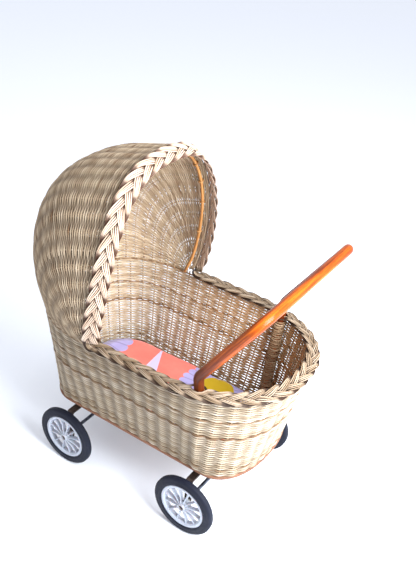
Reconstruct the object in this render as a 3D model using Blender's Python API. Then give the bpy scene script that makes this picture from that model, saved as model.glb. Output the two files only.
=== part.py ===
"""Wicker doll pram: woven tub and hood on a plywood base, bent-wood handle, two axles, four wheels.

Metres, +Z up, +X towards the handle end, origin on the floor under the middle of the bounding box.
"""

import math

import bmesh
import bpy
import numpy as np
from mathutils import Matrix, Vector

# Overall arrangement
GAP = 0.0003
FLOOR = 0.0
WHEEL_RADIUS = 0.0625
AXLE_X = {"front": 0.1298, "rear": -0.1554}
SIDES = {"near": -1.0, "far": 1.0}

# Base board
BOARD_BOTTOM = 0.1370
BOARD_TOP = 0.1430
BOARD_LIP = 0.0040

# Tub outline at its foot and at its rim: half width, then centre and reach of each rounded end
FOOT = {"half": 0.1155, "front_x": 0.1471, "front_a": 0.0690, "rear_x": -0.1579, "rear_a": 0.0720}
RIM = {"half": 0.1520, "front_x": 0.0671, "front_a": 0.1880, "rear_x": -0.0842, "rear_a": 0.1682}
FRONT_POWER = {"foot": 2.25, "rim": 2.30}
REAR_POWER = {"foot": 2.25, "rim": 2.50}
WALL = 0.0050
WALL_BOTTOM = BOARD_TOP + GAP
WALL_TOP = 0.3315
WALL_LEVELS = 6
LEG_BULGE = 0.0030
LEG_BULGE_WIDTH = 0.0120

# Border plait round the open rim
BORDER_Z = 0.3383
BORDER_HALF_WIDTH = 0.0140
BORDER_HALF_HEIGHT = 0.0062
BORDER_START_X = -0.0484
BORDER_END_TILT = math.radians(20.0)

# Hood
HOOD_BASE = WALL_TOP + GAP
HOOD_PIVOT_X = RIM["rear_x"]
ARCH_HEIGHT = 0.3145
ARCH_HALF = 0.1680
ARCH_POWER = 2.70
ARCH_FOOT_X = -0.0692
ARCH_FOOT_TUCK = 0.0160
ARCH_TUCK_HEIGHT = 0.0220
ARCH_LEAN = (0.0778, -0.0483)
HOOD_PROFILE_POWER = 1.60
HOOD_BULGE = 0.3850
HOOD_BULGE_SKEW = 0.2850
HOOD_SIDE_BULGE = 0.0720
HOOD_EDGE_RADIUS = 0.0080
HOOD_ROWS = 14
HOOD_COLUMNS = 44

# Arch plait and the cane hoop inside it
ARCH_BAND_HALF = 0.0160
ARCH_BAND_THICK = 0.0062
ARCH_BAND_TILT = math.radians(29.0)
HOOP_RADIUS = 0.0030
HOOP_BACK = 0.0190
HOOP_IN = 0.0092

# Handle
LEG_X = 0.1401
LEG_RADIUS = 0.0085
ARM_RADIUS = 0.0089
LEG_INSET = {"foot": 0.0116, "rim": 0.0126}
BEND_Z = 0.3670
CROSSBAR_X = 0.2446
CROSSBAR_Z = 0.5235
CROSSBAR_HALF = 0.1500
CORNER_RADIUS = 0.0280
BEND_RADIUS = 0.0240
SLEEVE = 0.0025
SLEEVE_ANGLE = math.radians(112.0)

# Mattress
MATTRESS = {"half": 0.1000, "front_x": 0.0776, "front_a": 0.1050, "rear_x": -0.1180, "rear_a": 0.1010}
MATTRESS_BOTTOM = BOARD_TOP + 0.0006
MATTRESS_TOP = 0.1720
MATTRESS_POWER = 2.5

# Chassis
BATTEN = (0.0260, 0.1760, 0.0210)
STRAP_WIDTH = 0.0142
STRAP_THICK = 0.0030
STRAP_TOP = BOARD_BOTTOM - GAP - BATTEN[2] - GAP
STRAP_HALF = 0.1245
STRAP_FOOT = 0.0520
AXLE_RADIUS = 0.0034
AXLE_HALF = 0.1424
SCREW_Y = 0.0600
STRAP_SCREW_Y = 0.0300

# Wheels
WHEEL_Y = 0.1366
TYRE_SIDES = 32
TYRE_HALF = 0.0072
TYRE_TREAD_HALF = 0.0040
TYRE_BORE = 0.0461
RIM_INNER = 0.0385
RIM_HALF = 0.0058
SPOKES = 12
SPOKE_HALF = 0.0009
HUB_RADIUS = 0.0075
HUB_INNER_END = -0.0103
HUB_OUTER_END = 0.0095
HUB_BORE = AXLE_RADIUS + GAP
HUB_RECESS = 0.0056
HUB_RECESS_DEPTH = 0.0054
WASHER_RADIUS = 0.0080
WASHER_THICK = 0.0012


def material(name, colour, roughness, metallic=0.0):
    made = bpy.data.materials.new(name)
    made.use_nodes = True
    shader = made.node_tree.nodes["Principled BSDF"]
    shader.inputs["Base Color"].default_value = (*colour, 1.0)
    shader.inputs["Roughness"].default_value = roughness
    shader.inputs["Metallic"].default_value = metallic
    return made


def solid(name, verts, faces, look=None, location=(0, 0, 0)):
    """A mesh object with outward normals."""
    mesh = bpy.data.meshes.new(name)
    bm = bmesh.new()
    made = [bm.verts.new(v) for v in verts]
    for face in faces:
        bm.faces.new([made[i] for i in face])
    bmesh.ops.recalc_face_normals(bm, faces=bm.faces)
    bm.to_mesh(mesh)
    bm.free()
    obj = bpy.data.objects.new(name, mesh)
    obj.location = location
    bpy.context.scene.collection.objects.link(obj)
    if look:
        mesh.materials.append(material(name, *look))
    return obj


def skin(name, rings, look=None, closed=False, location=(0, 0, 0)):
    """Rings of equal length joined in order; the ends are capped unless the rings close on themselves."""
    count, size = len(rings), len(rings[0])
    verts = [tuple(p) for ring in rings for p in ring]
    faces = []
    for i in range(count if closed else count - 1):
        a, b = i * size, (i + 1) % count * size
        for j in range(size):
            k = (j + 1) % size
            faces.append((a + j, a + k, b + k, b + j))
    if not closed:
        faces.append(tuple(range(size)))
        faces.append(tuple(range((count - 1) * size, count * size)))
    return solid(name, verts, faces, look, location)


def lathe(name, profile, sides, look=None, closed=False, location=(0, 0, 0), axis="Z", phase=0.0):
    """A profile of (radius, height) turned about Z or Y."""
    rings = []
    for radius, height in profile:
        turns = [2 * math.pi * (i + phase) / sides for i in range(sides)]
        flat = [(radius * math.cos(t), radius * math.sin(t)) for t in turns]
        if axis == "Z":
            rings.append([(x, y, height) for x, y in flat])
        else:
            rings.append([(x, height, y) for x, y in flat])
    return skin(name, rings, look, closed, location)


def cutter(name, pieces):
    """Several closed pieces joined into one hidden tool; each is (verts, faces)."""
    verts, faces = [], []
    for piece_verts, piece_faces in pieces:
        start = len(verts)
        verts.extend(piece_verts)
        faces.extend(tuple(start + i for i in face) for face in piece_faces)
    tool = solid(name, verts, faces)
    tool.hide_render = True
    tool.display_type = "WIRE"
    return tool


def rod(start, end, radius, sides=12):
    """Verts and faces of a plain cylinder between two points."""
    start, end = Vector(start), Vector(end)
    turn = (end - start).to_track_quat("Z", "Y")
    ring = [turn @ Vector((radius * math.cos(a), radius * math.sin(a), 0))
            for a in (2 * math.pi * i / sides for i in range(sides))]
    verts = [tuple(start + p) for p in ring] + [tuple(end + p) for p in ring]
    faces = [(i, (i + 1) % sides, sides + (i + 1) % sides, sides + i) for i in range(sides)]
    faces += [tuple(range(sides)), tuple(range(sides, 2 * sides))]
    return verts, faces


def combine(target, tool, operation="DIFFERENCE"):
    modifier = target.modifiers.new(tool.name, "BOOLEAN")
    modifier.operation = operation
    modifier.solver = "EXACT"
    modifier.object = tool


def baked(obj):
    """The object's mesh after its modifiers, with the tools it used removed."""
    bpy.context.view_layer.update()
    tools = [m.object for m in obj.modifiers]
    mesh = bpy.data.meshes.new_from_object(obj.evaluated_get(bpy.context.evaluated_depsgraph_get()))
    for used in [obj, *tools]:
        bpy.data.objects.remove(used)
    return mesh


def power_arc(angle, power):
    """Cosine and sine of a superellipse."""
    c, s = math.cos(angle), math.sin(angle)
    return math.copysign(abs(c) ** (2 / power), c), math.copysign(abs(s) ** (2 / power), s)


def mix(a, b, t):
    return a + (b - a) * t


def rounded_outline(shape, front_power, rear_power, out=0.0, arc=14, straight=()):
    """Points anticlockwise from the front tip: front end, far side, rear end, near side."""
    half = shape["half"] + out
    points = []
    for i in range(-arc, arc + 1):
        c, s = power_arc(i / arc * math.pi / 2, front_power)
        points.append((shape["front_x"] + (shape["front_a"] + out) * c, half * s))
    points += [(x, half) for x in straight]
    for i in range(-arc, arc + 1):
        c, s = power_arc(i / arc * math.pi / 2, rear_power)
        points.append((shape["rear_x"] - (shape["rear_a"] + out) * c, -half * s))
    points += [(x, -half) for x in reversed(straight)]
    return points


def tub_shape(height):
    """The tub's outline and end powers at a share of its height."""
    shape = {key: mix(FOOT[key], RIM[key], height) for key in FOOT}
    front = mix(FRONT_POWER["foot"], FRONT_POWER["rim"], height)
    rear = mix(REAR_POWER["foot"], REAR_POWER["rim"], height)
    return shape, front, rear


def leg_swell(x):
    """How far the wall is pushed out where a handle leg runs behind it."""
    return LEG_BULGE * math.exp(-((x - LEG_X) / LEG_BULGE_WIDTH) ** 2)


def wall_height(z):
    return (z - WALL_BOTTOM) / (WALL_TOP - WALL_BOTTOM)


def base_board():
    shape, front, rear = tub_shape(0.0)
    outline = rounded_outline(shape, front, rear, BOARD_LIP, 12)
    soft = 0.0012
    inner = rounded_outline(shape, front, rear, BOARD_LIP - soft, 12)
    levels = ((inner, BOARD_BOTTOM), (outline, BOARD_BOTTOM + soft), (outline, BOARD_TOP - soft), (inner, BOARD_TOP))
    rings = [[(x, y, z) for x, y in line] for line, z in levels]
    board = skin("base_board", rings, ((0.30, 0.16, 0.09), 0.65))
    holes = [rod((x, side * SCREW_Y, BOARD_BOTTOM - 0.001), (x, side * SCREW_Y, BOARD_TOP + 0.001), 0.0025)
             for x in AXLE_X.values() for side in SIDES.values()]
    sinks = [sink_tool((x, side * SCREW_Y, BOARD_TOP)) for x in AXLE_X.values() for side in SIDES.values()]
    legs = [rod((LEG_X, side * leg_y(BOARD_TOP), BOARD_BOTTOM - 0.001),
                (LEG_X, side * leg_y(BOARD_TOP), BOARD_TOP + 0.001), 0.0023)
            for side in SIDES.values()]
    combine(board, cutter("board_holes", holes + legs))
    combine(board, cutter("board_sinks", sinks))


def sink_tool(top):
    """The cone that lets a screw head lie below the board's face."""
    sides = 12
    x, y, z = top
    verts = []
    for radius, height in ((0.0022, z - 0.0034), (0.0054, z + 0.0006)):
        verts += [(x + radius * math.cos(a), y + radius * math.sin(a), height)
                  for a in (2 * math.pi * i / sides for i in range(sides))]
    faces = [(i, (i + 1) % sides, sides + (i + 1) % sides, sides + i) for i in range(sides)]
    faces += [tuple(range(sides)), tuple(range(sides, 2 * sides))]
    return verts, faces


def tub_wall():
    levels = [i / (WALL_LEVELS - 1) for i in range(WALL_LEVELS)]
    skins = []
    for out, heights in ((WALL / 2, levels), (-WALL / 2, levels[::-1])):
        for height in heights:
            shape, front, rear = tub_shape(height)
            straight = [mix(shape["front_x"], shape["rear_x"], t) for t in (0.2, 0.4, 0.6, 0.8)]
            line = rounded_outline(shape, front, rear, out, 16, straight)
            z = mix(WALL_BOTTOM, WALL_TOP, height)
            skins.append([(x, y + math.copysign(leg_swell(x), y), z) for x, y in line])
    rings = [[level[i] for level in skins] for i in range(len(skins[0]))]
    skin("tub_wall", rings, ((0.70, 0.56, 0.38), 0.7), closed=True)


def sweep(name, path, sections, look, closed=False):
    rings = [[point + offset for offset in section] for point, section in zip(path, sections)]
    return skin(name, rings, look, closed)


def tangents(path):
    last = len(path) - 1
    return [(path[min(i + 1, last)] - path[max(i - 1, 0)]).normalized() for i in range(last + 1)]


def border_path():
    """The rim's centre line from the near arch foot round the front to the far one."""
    shape = RIM
    line = rounded_outline(shape, FRONT_POWER["rim"], 2.0, 0.0, 14)[:29]
    side = [(x, shape["half"]) for x in (0.044, 0.020, -0.004, -0.028, BORDER_START_X)]
    near = [(x, -y) for x, y in reversed(side)]
    return [Vector((x, y, BORDER_Z)) for x, y in near + line + side]


def tub_border():
    path = border_path()
    sections = []
    for point, along in zip(path, tangents(path)):
        out = along.cross(Vector((0, 0, 1)))
        share = max(0.0, (point.x - RIM["front_x"]) / RIM["front_a"])
        tilt = BORDER_END_TILT * share
        wide = out * math.cos(tilt) - Vector((0, 0, math.sin(tilt)))
        tall = wide.cross(along) * -1.0
        drop = Vector((0, 0, 0.0014 * share))
        turns = [2 * math.pi * i / 12 for i in range(12)]
        sections.append([wide * BORDER_HALF_WIDTH * math.cos(t) + tall * BORDER_HALF_HEIGHT * math.sin(t) + drop
                         for t in turns])
    border = sweep("tub_border", path, sections, ((0.74, 0.55, 0.36), 0.6))
    legs = [rod((LEG_X, side * leg_y(BORDER_Z - 0.02), BORDER_Z - 0.02),
                (LEG_X, side * leg_y(BORDER_Z + 0.02), BORDER_Z + 0.02), LEG_RADIUS + 2 * GAP, 20)
            for side in SIDES.values()]
    combine(border, cutter("border_leg_holes", legs))


def arch_x(rise):
    """The arch plait's position along X at a share of its height."""
    return ARCH_FOOT_X + ARCH_LEAN[0] * rise + ARCH_LEAN[1] * rise * rise


def arch_point(angle):
    """Half width and height of the arch, with its feet drawn in to the rim."""
    c, s = power_arc(angle, ARCH_POWER)
    height = ARCH_HEIGHT * s
    tuck = ARCH_FOOT_TUCK * math.exp(-height / ARCH_TUCK_HEIGHT)
    return ARCH_HALF * c - math.copysign(tuck, c) * min(1.0, abs(c) * 4), height


def hood_point(turn, angle):
    """Middle of the hood's skin: turn 0 is the arch, pi/2 the rear rim; angle runs foot to foot."""
    arch_y, height = arch_point(angle)
    c, s = power_arc(angle, REAR_POWER["rim"])
    depth = RIM["rear_a"] * s
    n = HOOD_PROFILE_POWER
    reach = ((math.sin(turn) / depth) ** n + (math.cos(turn) / height) ** n) ** (-1 / n)
    reach *= 1 + HOOD_BULGE * math.sin(2 * turn) ** 2 * (1 + HOOD_BULGE_SKEW * math.cos(2 * turn))
    width = arch_y * math.cos(turn) ** 2 + RIM["half"] * c * math.sin(turn) ** 2
    width *= 1 + HOOD_SIDE_BULGE * math.sin(2 * turn) * (1 - math.exp(-reach / 0.05))
    rise = reach * math.cos(turn) / ARCH_HEIGHT
    lean = (ARCH_LEAN[0] * rise + ARCH_LEAN[1] * rise * rise) * math.cos(turn)
    return Vector((HOOD_PIVOT_X + lean - reach * math.sin(turn), width, HOOD_BASE + reach * math.cos(turn)))


def hood_normal(turn, angle):
    step = 1e-4
    across = hood_point(turn, angle + step) - hood_point(turn, angle - step)
    low, high = max(turn - step, 0.0), min(turn + step, math.pi / 2)
    around = hood_point(high, angle) - hood_point(low, angle)
    out = around.cross(across).normalized()
    centre = Vector((HOOD_PIVOT_X, 0, HOOD_BASE))
    return out if out.dot(hood_point(turn, angle) - centre) > 0 else -out


def foot_angle():
    """Where the hood's edge stands clear of the point that all its rows would meet at."""
    angle = 0.0
    while ARCH_HEIGHT * power_arc(angle, ARCH_POWER)[1] < HOOD_EDGE_RADIUS:
        angle += 0.001
    return angle


def hood_shell():
    start = foot_angle()
    angles = [mix(start, math.pi - start, j / HOOD_COLUMNS) for j in range(HOOD_COLUMNS + 1)]
    turns = [i / HOOD_ROWS * math.pi / 2 for i in range(HOOD_ROWS + 1)]
    sheets = []
    for out in (WALL / 2, -WALL / 2):
        grid = []
        for turn in turns:
            row = [hood_point(turn, a) + hood_normal(turn, a) * out for a in angles]
            for point in row:
                point.z = max(point.z, HOOD_BASE)
            if turn == turns[-1]:
                for point in row:
                    point.z = HOOD_BASE
            grid.append(row)
        sheets.append(grid)
    rings = []
    for j in range(len(angles)):
        outer = [sheets[0][i][j] for i in range(len(turns))]
        inner = [sheets[1][i][j] for i in reversed(range(len(turns)))]
        rings.append(outer + inner)
    skin("hood_shell", rings, ((0.55, 0.42, 0.28), 0.7))


def arch_path(steps=40, inward=0.0, back=0.0, lift=0.0):
    """Points up and over the arch with the outward direction at each."""
    path = []
    for i in range(steps + 1):
        angle = mix(0.0, math.pi, i / steps)
        y, height = arch_point(angle)
        path.append(Vector((arch_x(height / ARCH_HEIGHT) - back, y, HOOD_BASE + height + lift)))
    along = tangents(path)
    outward = [Vector((1, 0, 0)).cross(t).normalized() * -1.0 for t in along]
    return [p - o * inward for p, o in zip(path, outward)], along, outward


def hood_border():
    path, along, outward = arch_path(lift=0.0004)
    sections = []
    for tangent, out in zip(along, outward):
        forward = out.cross(tangent).normalized()
        if forward.x < 0:
            forward.negate()
        wide = forward * math.cos(ARCH_BAND_TILT) - out * math.sin(ARCH_BAND_TILT)
        deep = forward * math.sin(ARCH_BAND_TILT) + out * math.cos(ARCH_BAND_TILT)
        turns = [2 * math.pi * i / 12 for i in range(12)]
        sections.append([wide * ARCH_BAND_HALF * math.cos(t) + deep * ARCH_BAND_THICK * math.sin(t) for t in turns])
    rings = [[p + o for o in section] for p, section in zip(path, sections)]
    for ring in (rings[0], rings[-1]):
        for point in ring:
            point.z = HOOD_BASE + 0.0004
    for ring in rings[1:-1]:
        for point in ring:
            point.z = max(point.z, HOOD_BASE + 0.0010)
    skin("hood_border", rings, ((0.88, 0.68, 0.48), 0.55))


def hood_hoop():
    path, along, outward = arch_path(36, HOOP_IN, HOOP_BACK, 0.002)
    sections = []
    for tangent, out in zip(along, outward):
        side = out.cross(tangent).normalized()
        turns = [2 * math.pi * i / 8 for i in range(8)]
        sections.append([(out * math.cos(t) + side * math.sin(t)) * HOOP_RADIUS for t in turns])
    sweep("hood_hoop", path, sections, ((0.45, 0.22, 0.09), 0.5))


def leg_y(z):
    """Distance of a handle leg's axis from the middle plane."""
    share = (LEG_X - RIM["front_x"]) / RIM["front_a"]
    rim_y = RIM["half"] * (1 - share ** FRONT_POWER["rim"]) ** (1 / FRONT_POWER["rim"])
    return mix(FOOT["half"] - LEG_INSET["foot"], rim_y - LEG_INSET["rim"], wall_height(z))


def rounded_path(corners, radii, steps=6):
    """A polyline with its inner corners turned into arcs."""
    points = [corners[0]]
    for before, corner, after, radius in zip(corners, corners[1:], corners[2:], radii):
        to_start = (before - corner).normalized()
        to_end = (after - corner).normalized()
        bend = to_start.angle(to_end)
        reach = radius / math.tan(bend / 2)
        centre = corner + (to_start + to_end).normalized() * radius / math.sin(bend / 2)
        start = corner + to_start * reach - centre
        axis = start.cross(corner + to_end * reach - centre).normalized()
        sweep_angle = math.pi - bend
        for i in range(steps + 1):
            points.append(centre + Matrix.Rotation(sweep_angle * i / steps, 3, axis) @ start)
    points.append(corners[-1])
    return points


def handle_corners():
    foot_z = BOARD_TOP + 2 * GAP
    near = [Vector((LEG_X, -leg_y(foot_z), foot_z)),
            Vector((LEG_X, -leg_y(BEND_Z), BEND_Z)),
            Vector((CROSSBAR_X, -CROSSBAR_HALF, CROSSBAR_Z))]
    far = [Vector((p.x, -p.y, p.z)) for p in reversed(near)]
    return near + far


def handle():
    path = rounded_path(handle_corners(), (BEND_RADIUS, CORNER_RADIUS, CORNER_RADIUS, BEND_RADIUS))
    collar = BORDER_Z + BORDER_HALF_HEIGHT
    path.insert(1, Vector((LEG_X, -leg_y(collar), collar)))
    path.insert(-1, Vector((LEG_X, leg_y(collar), collar)))
    along = tangents(path)
    flat = (path[len(path) // 2] - path[0]).cross(Vector((0, 1, 0))).normalized()
    sections = []
    for point, tangent in zip(path, along):
        side = tangent.cross(flat).normalized()
        up = side.cross(tangent).normalized()
        share = min(1.0, max(0.0, (point.z - collar) / (BEND_Z - collar)))
        radius = mix(LEG_RADIUS, ARM_RADIUS, share)
        turns = [2 * math.pi * i / 14 for i in range(14)]
        sections.append([(side * math.cos(t) + up * math.sin(t)) * radius for t in turns])
    for end in (0, -1):
        for offset in sections[end]:
            offset.z = 0.0
    bar = sweep("handle", path, sections, ((0.62, 0.20, 0.035), 0.25))
    pilots = []
    for side in SIDES.values():
        y = side * leg_y(BOARD_TOP)
        pilots.append(rod((LEG_X, y, BOARD_TOP - 0.001), (LEG_X, y, BOARD_TOP + 0.0150), 0.0023))
    combine(bar, cutter("handle_pilots", pilots))


def leg_sleeve(side, name):
    """The woven half tube that holds a handle leg against the wall's inner face."""
    arc = 12
    rings = []
    for z in (WALL_BOTTOM + GAP, mix(WALL_BOTTOM, WALL_TOP, 0.5), WALL_TOP - GAP):
        ring = []
        for radius, order in ((LEG_RADIUS + SLEEVE + GAP, 1), (LEG_RADIUS + GAP, -1)):
            for i in range(arc + 1):
                turn = order * mix(-SLEEVE_ANGLE, SLEEVE_ANGLE, i / arc)
                ring.append((LEG_X + radius * math.sin(turn), side * (leg_y(z) - radius * math.cos(turn)), z))
        rings.append(ring)
    skin(name, rings, ((0.50, 0.34, 0.20), 0.7))


def screw(name, location, length, downwards=True, head=0.0042, shank=0.0020):
    """A countersunk wood screw whose head's face is at the location."""
    sign = -1.0 if downwards else 1.0
    profile = [(head, 0.0), (head - 0.0003, sign * 0.0004), (shank, sign * 0.0028), (shank, sign * (length - 0.003)),
               (0.0004, sign * length)]
    return lathe(name, profile, 12, ((0.55, 0.54, 0.52), 0.4, 1.0), location=location)


def pan_screw(name, location, length):
    """A round-headed screw driven upwards; the location is under its head's seat."""
    profile = [(0.0022, -0.0022), (0.0038, -0.0014), (0.0042, 0.0), (0.0020, 0.0), (0.0020, length - 0.003),
               (0.0004, length)]
    return lathe(name, profile, 12, ((0.20, 0.19, 0.19), 0.5, 1.0), location=location)


def box(centre, size):
    x, y, z = centre
    a, b, c = (s / 2 for s in size)
    verts = [(x + i * a, y + j * b, z + k * c) for i in (-1, 1) for j in (-1, 1) for k in (-1, 1)]
    faces = [(0, 1, 3, 2), (4, 6, 7, 5), (0, 4, 5, 1), (2, 3, 7, 6), (0, 2, 6, 4), (1, 5, 7, 3)]
    return verts, faces


def bevel(obj, width):
    modifier = obj.modifiers.new("soft_edges", "BEVEL")
    modifier.width = width
    modifier.segments = 1
    modifier.limit_method = "ANGLE"


def batten(end):
    x = AXLE_X[end]
    z = BOARD_BOTTOM - GAP - BATTEN[2] / 2
    verts, faces = box((0, 0, 0), BATTEN)
    block = solid(f"batten_{end}", verts, faces, ((0.33, 0.20, 0.11), 0.7), (x, 0, z))
    bevel(block, 0.0015)
    top, bottom = z + BATTEN[2] / 2, z - BATTEN[2] / 2
    pilots = []
    for side in SIDES.values():
        pilots.append(rod((x, side * SCREW_Y, top + 0.001), (x, side * SCREW_Y, top - 0.0150), 0.0023))
        y = side * STRAP_SCREW_Y
        pilots.append(rod((x, y, bottom - 0.001), (x, y, bottom + 0.0150), 0.0023))
    combine(block, cutter(f"batten_pilots_{end}", pilots))


def strap(end):
    """Flat steel bent down at both ends to carry the axle."""
    x = AXLE_X[end]
    turn = 0.0050
    foot = STRAP_FOOT
    outer = rounded_path([Vector((0, -STRAP_HALF, foot)), Vector((0, -STRAP_HALF, STRAP_TOP)),
                          Vector((0, STRAP_HALF, STRAP_TOP)), Vector((0, STRAP_HALF, foot))],
                         (turn, turn), 4)
    inner_half, inner_top = STRAP_HALF - STRAP_THICK, STRAP_TOP - STRAP_THICK
    inner = rounded_path([Vector((0, -inner_half, foot)), Vector((0, -inner_half, inner_top)),
                          Vector((0, inner_half, inner_top)), Vector((0, inner_half, foot))],
                         (turn - STRAP_THICK, turn - STRAP_THICK), 4)
    half = Vector((STRAP_WIDTH / 2, 0, 0))
    rings = [[o + half, o - half, i - half, i + half] for o, i in zip(outer, inner)]
    bar = skin(f"strap_{end}", rings, ((0.035, 0.030, 0.032), 0.45, 0.6), location=(x, 0, 0))
    holes = [rod((x, -0.130, WHEEL_RADIUS), (x, 0.130, WHEEL_RADIUS), AXLE_RADIUS + GAP)]
    for side in SIDES.values():
        y = side * STRAP_SCREW_Y
        holes.append(rod((x, y, STRAP_TOP - 0.006), (x, y, STRAP_TOP + 0.002), 0.0024))
    combine(bar, cutter(f"strap_holes_{end}", holes))


def axle(end):
    profile = [(AXLE_RADIUS - 0.0006, -AXLE_HALF), (AXLE_RADIUS, -AXLE_HALF + 0.0006),
               (AXLE_RADIUS, AXLE_HALF - 0.0006), (AXLE_RADIUS - 0.0006, AXLE_HALF)]
    lathe(f"axle_{end}", profile, 12, ((0.16, 0.17, 0.20), 0.35, 1.0), location=(AXLE_X[end], 0, WHEEL_RADIUS),
          axis="Y")


def rim_mesh():
    """The plastic wheel: rim, barrel and spokes in one, outer face towards -Y."""
    scale = 1 / math.cos(math.pi / TYRE_SIDES)
    outer = (TYRE_BORE - GAP) * scale
    lip = RIM_HALF
    rim = lathe("rim_band", [(outer, -lip), (outer, lip), (RIM_INNER + 0.0012, lip), (RIM_INNER, lip - 0.0012),
                             (RIM_INNER, -lip + 0.0012), (RIM_INNER + 0.0012, -lip)],
                TYRE_SIDES, ((0.86, 0.88, 0.92), 0.35), closed=True, axis="Y", phase=0.5)
    far, near = -HUB_INNER_END, -HUB_OUTER_END
    step = near + HUB_RECESS_DEPTH
    barrel = lathe("rim_barrel", [(HUB_RADIUS, far), (HUB_RADIUS + 0.0012, 0.0), (HUB_RADIUS - 0.0008, near),
                                  (HUB_RECESS, near), (HUB_RECESS, step), (HUB_BORE, step), (HUB_BORE, far)],
                   18, closed=True, axis="Y")
    spokes = []
    for i in range(SPOKES):
        turn = Matrix.Rotation(2 * math.pi * (i + 0.5) / SPOKES, 3, "Y")
        spokes.append(spoke(turn))
    for tool in (barrel, cutter("rim_spokes", spokes)):
        tool.hide_render = True
        tool.display_type = "WIRE"
        combine(rim, tool, "UNION")
    return baked(rim)


def spoke(turn):
    """One tapering fin from the barrel to the rim."""
    root, tip = HUB_RADIUS - 0.0010, RIM_INNER + 0.0014
    verts = []
    for reach, front, back in ((root, -0.0066, 0.0030), (tip, -0.0036, 0.0036)):
        for depth, half in ((front, SPOKE_HALF * 0.8), (back, SPOKE_HALF * 1.5)):
            verts += [tuple(turn @ Vector((reach, depth, side * half))) for side in (-1, 1)]
    faces = [(0, 1, 3, 2), (4, 6, 7, 5), (0, 4, 5, 1), (2, 3, 7, 6), (0, 2, 6, 4), (1, 5, 7, 3)]
    return verts, faces


def tyre_rings():
    scale = 1 / math.cos(math.pi / TYRE_SIDES)
    profile = [(TYRE_BORE, -TYRE_HALF + 0.0012), (TYRE_BORE + 0.0025, -TYRE_HALF),
               (WHEEL_RADIUS - 0.0050, -TYRE_HALF), (WHEEL_RADIUS - 0.0012, -TYRE_TREAD_HALF - 0.0012),
               (WHEEL_RADIUS, -TYRE_TREAD_HALF)]
    profile += [(r, -w) for r, w in reversed(profile)]
    return [(r * scale, w) for r, w in profile]


def wheel(end, side_name, rim):
    side = SIDES[side_name]
    name = f"{end}_{side_name}"
    place = (AXLE_X[end], side * WHEEL_Y, WHEEL_RADIUS)
    hub = bpy.data.objects.new(f"wheel_{name}", rim.copy())
    hub.data.materials.clear()
    hub.data.materials.append(material(f"wheel_{name}", (0.86, 0.88, 0.92), 0.35))
    hub.location = place
    bpy.context.scene.collection.objects.link(hub)
    if side > 0:
        hub.rotation_euler = (0, 0, math.pi)
    lathe(f"tyre_{name}", tyre_rings(), TYRE_SIDES, ((0.018, 0.020, 0.028), 0.6), closed=True,
          location=place, axis="Y", phase=0.5)
    inner = STRAP_HALF + GAP
    lathe(f"washer_{name}", ring_profile(AXLE_RADIUS + GAP, WASHER_RADIUS, WASHER_THICK), 16,
          ((0.45, 0.45, 0.47), 0.35, 1.0), closed=True, axis="Y",
          location=(place[0], side * (inner + WASHER_THICK / 2), WHEEL_RADIUS))
    seat = WHEEL_Y + HUB_OUTER_END - HUB_RECESS_DEPTH
    lathe(f"axle_cap_{name}", ring_profile(AXLE_RADIUS + GAP, HUB_RECESS - GAP, 0.0014), 16,
          ((0.30, 0.22, 0.14), 0.45, 1.0), closed=True, axis="Y",
          location=(place[0], side * (seat + GAP + 0.0007), WHEEL_RADIUS))


def ring_profile(inner, outer, thick):
    return [(inner, -thick / 2), (outer, -thick / 2), (outer, thick / 2), (inner, thick / 2)]


def mattress():
    rings = []
    middle = (MATTRESS_TOP + MATTRESS_BOTTOM) / 2
    half = (MATTRESS_TOP - MATTRESS_BOTTOM) / 2
    for turn in (-90, -60, -25, 0, 25, 60, 90):
        a = math.radians(turn)
        inset = -0.016 * (1 - math.cos(a) ** 0.7)
        line = rounded_outline(MATTRESS, MATTRESS_POWER, MATTRESS_POWER, inset, 10)
        rings.append([(x, y, middle + half * math.sin(a)) for x, y in line])
    skin("mattress", rings, ((0.95, 0.32, 0.25), 0.85))


def fasteners():
    for end, x in AXLE_X.items():
        for side_name, side in SIDES.items():
            screw(f"board_screw_{end}_{side_name}", (x, side * SCREW_Y, BOARD_TOP - 0.0002), 0.0180)
            pan_screw(f"strap_screw_{end}_{side_name}",
                      (x, side * STRAP_SCREW_Y, STRAP_TOP - STRAP_THICK - GAP), 0.0150)
    for side_name, side in SIDES.items():
        pan_screw(f"leg_screw_{side_name}", (LEG_X, side * leg_y(BOARD_TOP), BOARD_BOTTOM - GAP), 0.0190)


def clear_scene():
    for obj in list(bpy.data.objects):
        bpy.data.objects.remove(obj)


def main():
    clear_scene()
    base_board()
    tub_wall()
    tub_border()
    hood_shell()
    hood_border()
    hood_hoop()
    handle()
    for side_name, side in SIDES.items():
        leg_sleeve(side, f"leg_sleeve_{side_name}")
    mattress()
    for end in AXLE_X:
        batten(end)
        strap(end)
        axle(end)
    fasteners()
    rim = rim_mesh()
    for end in AXLE_X:
        for side_name in SIDES:
            wheel(end, side_name, rim)
    bpy.data.meshes.remove(rim)


main()
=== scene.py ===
"""Looks of the wicker doll pram: woven canes, plaits, wheels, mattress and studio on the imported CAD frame.

Metres, +Z up, +X towards the handle end, +Y the far side. Curves repeat the CAD's own formulas.
"""
import math

import bmesh
import bpy
import numpy as np
from mathutils import Matrix, Vector


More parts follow.
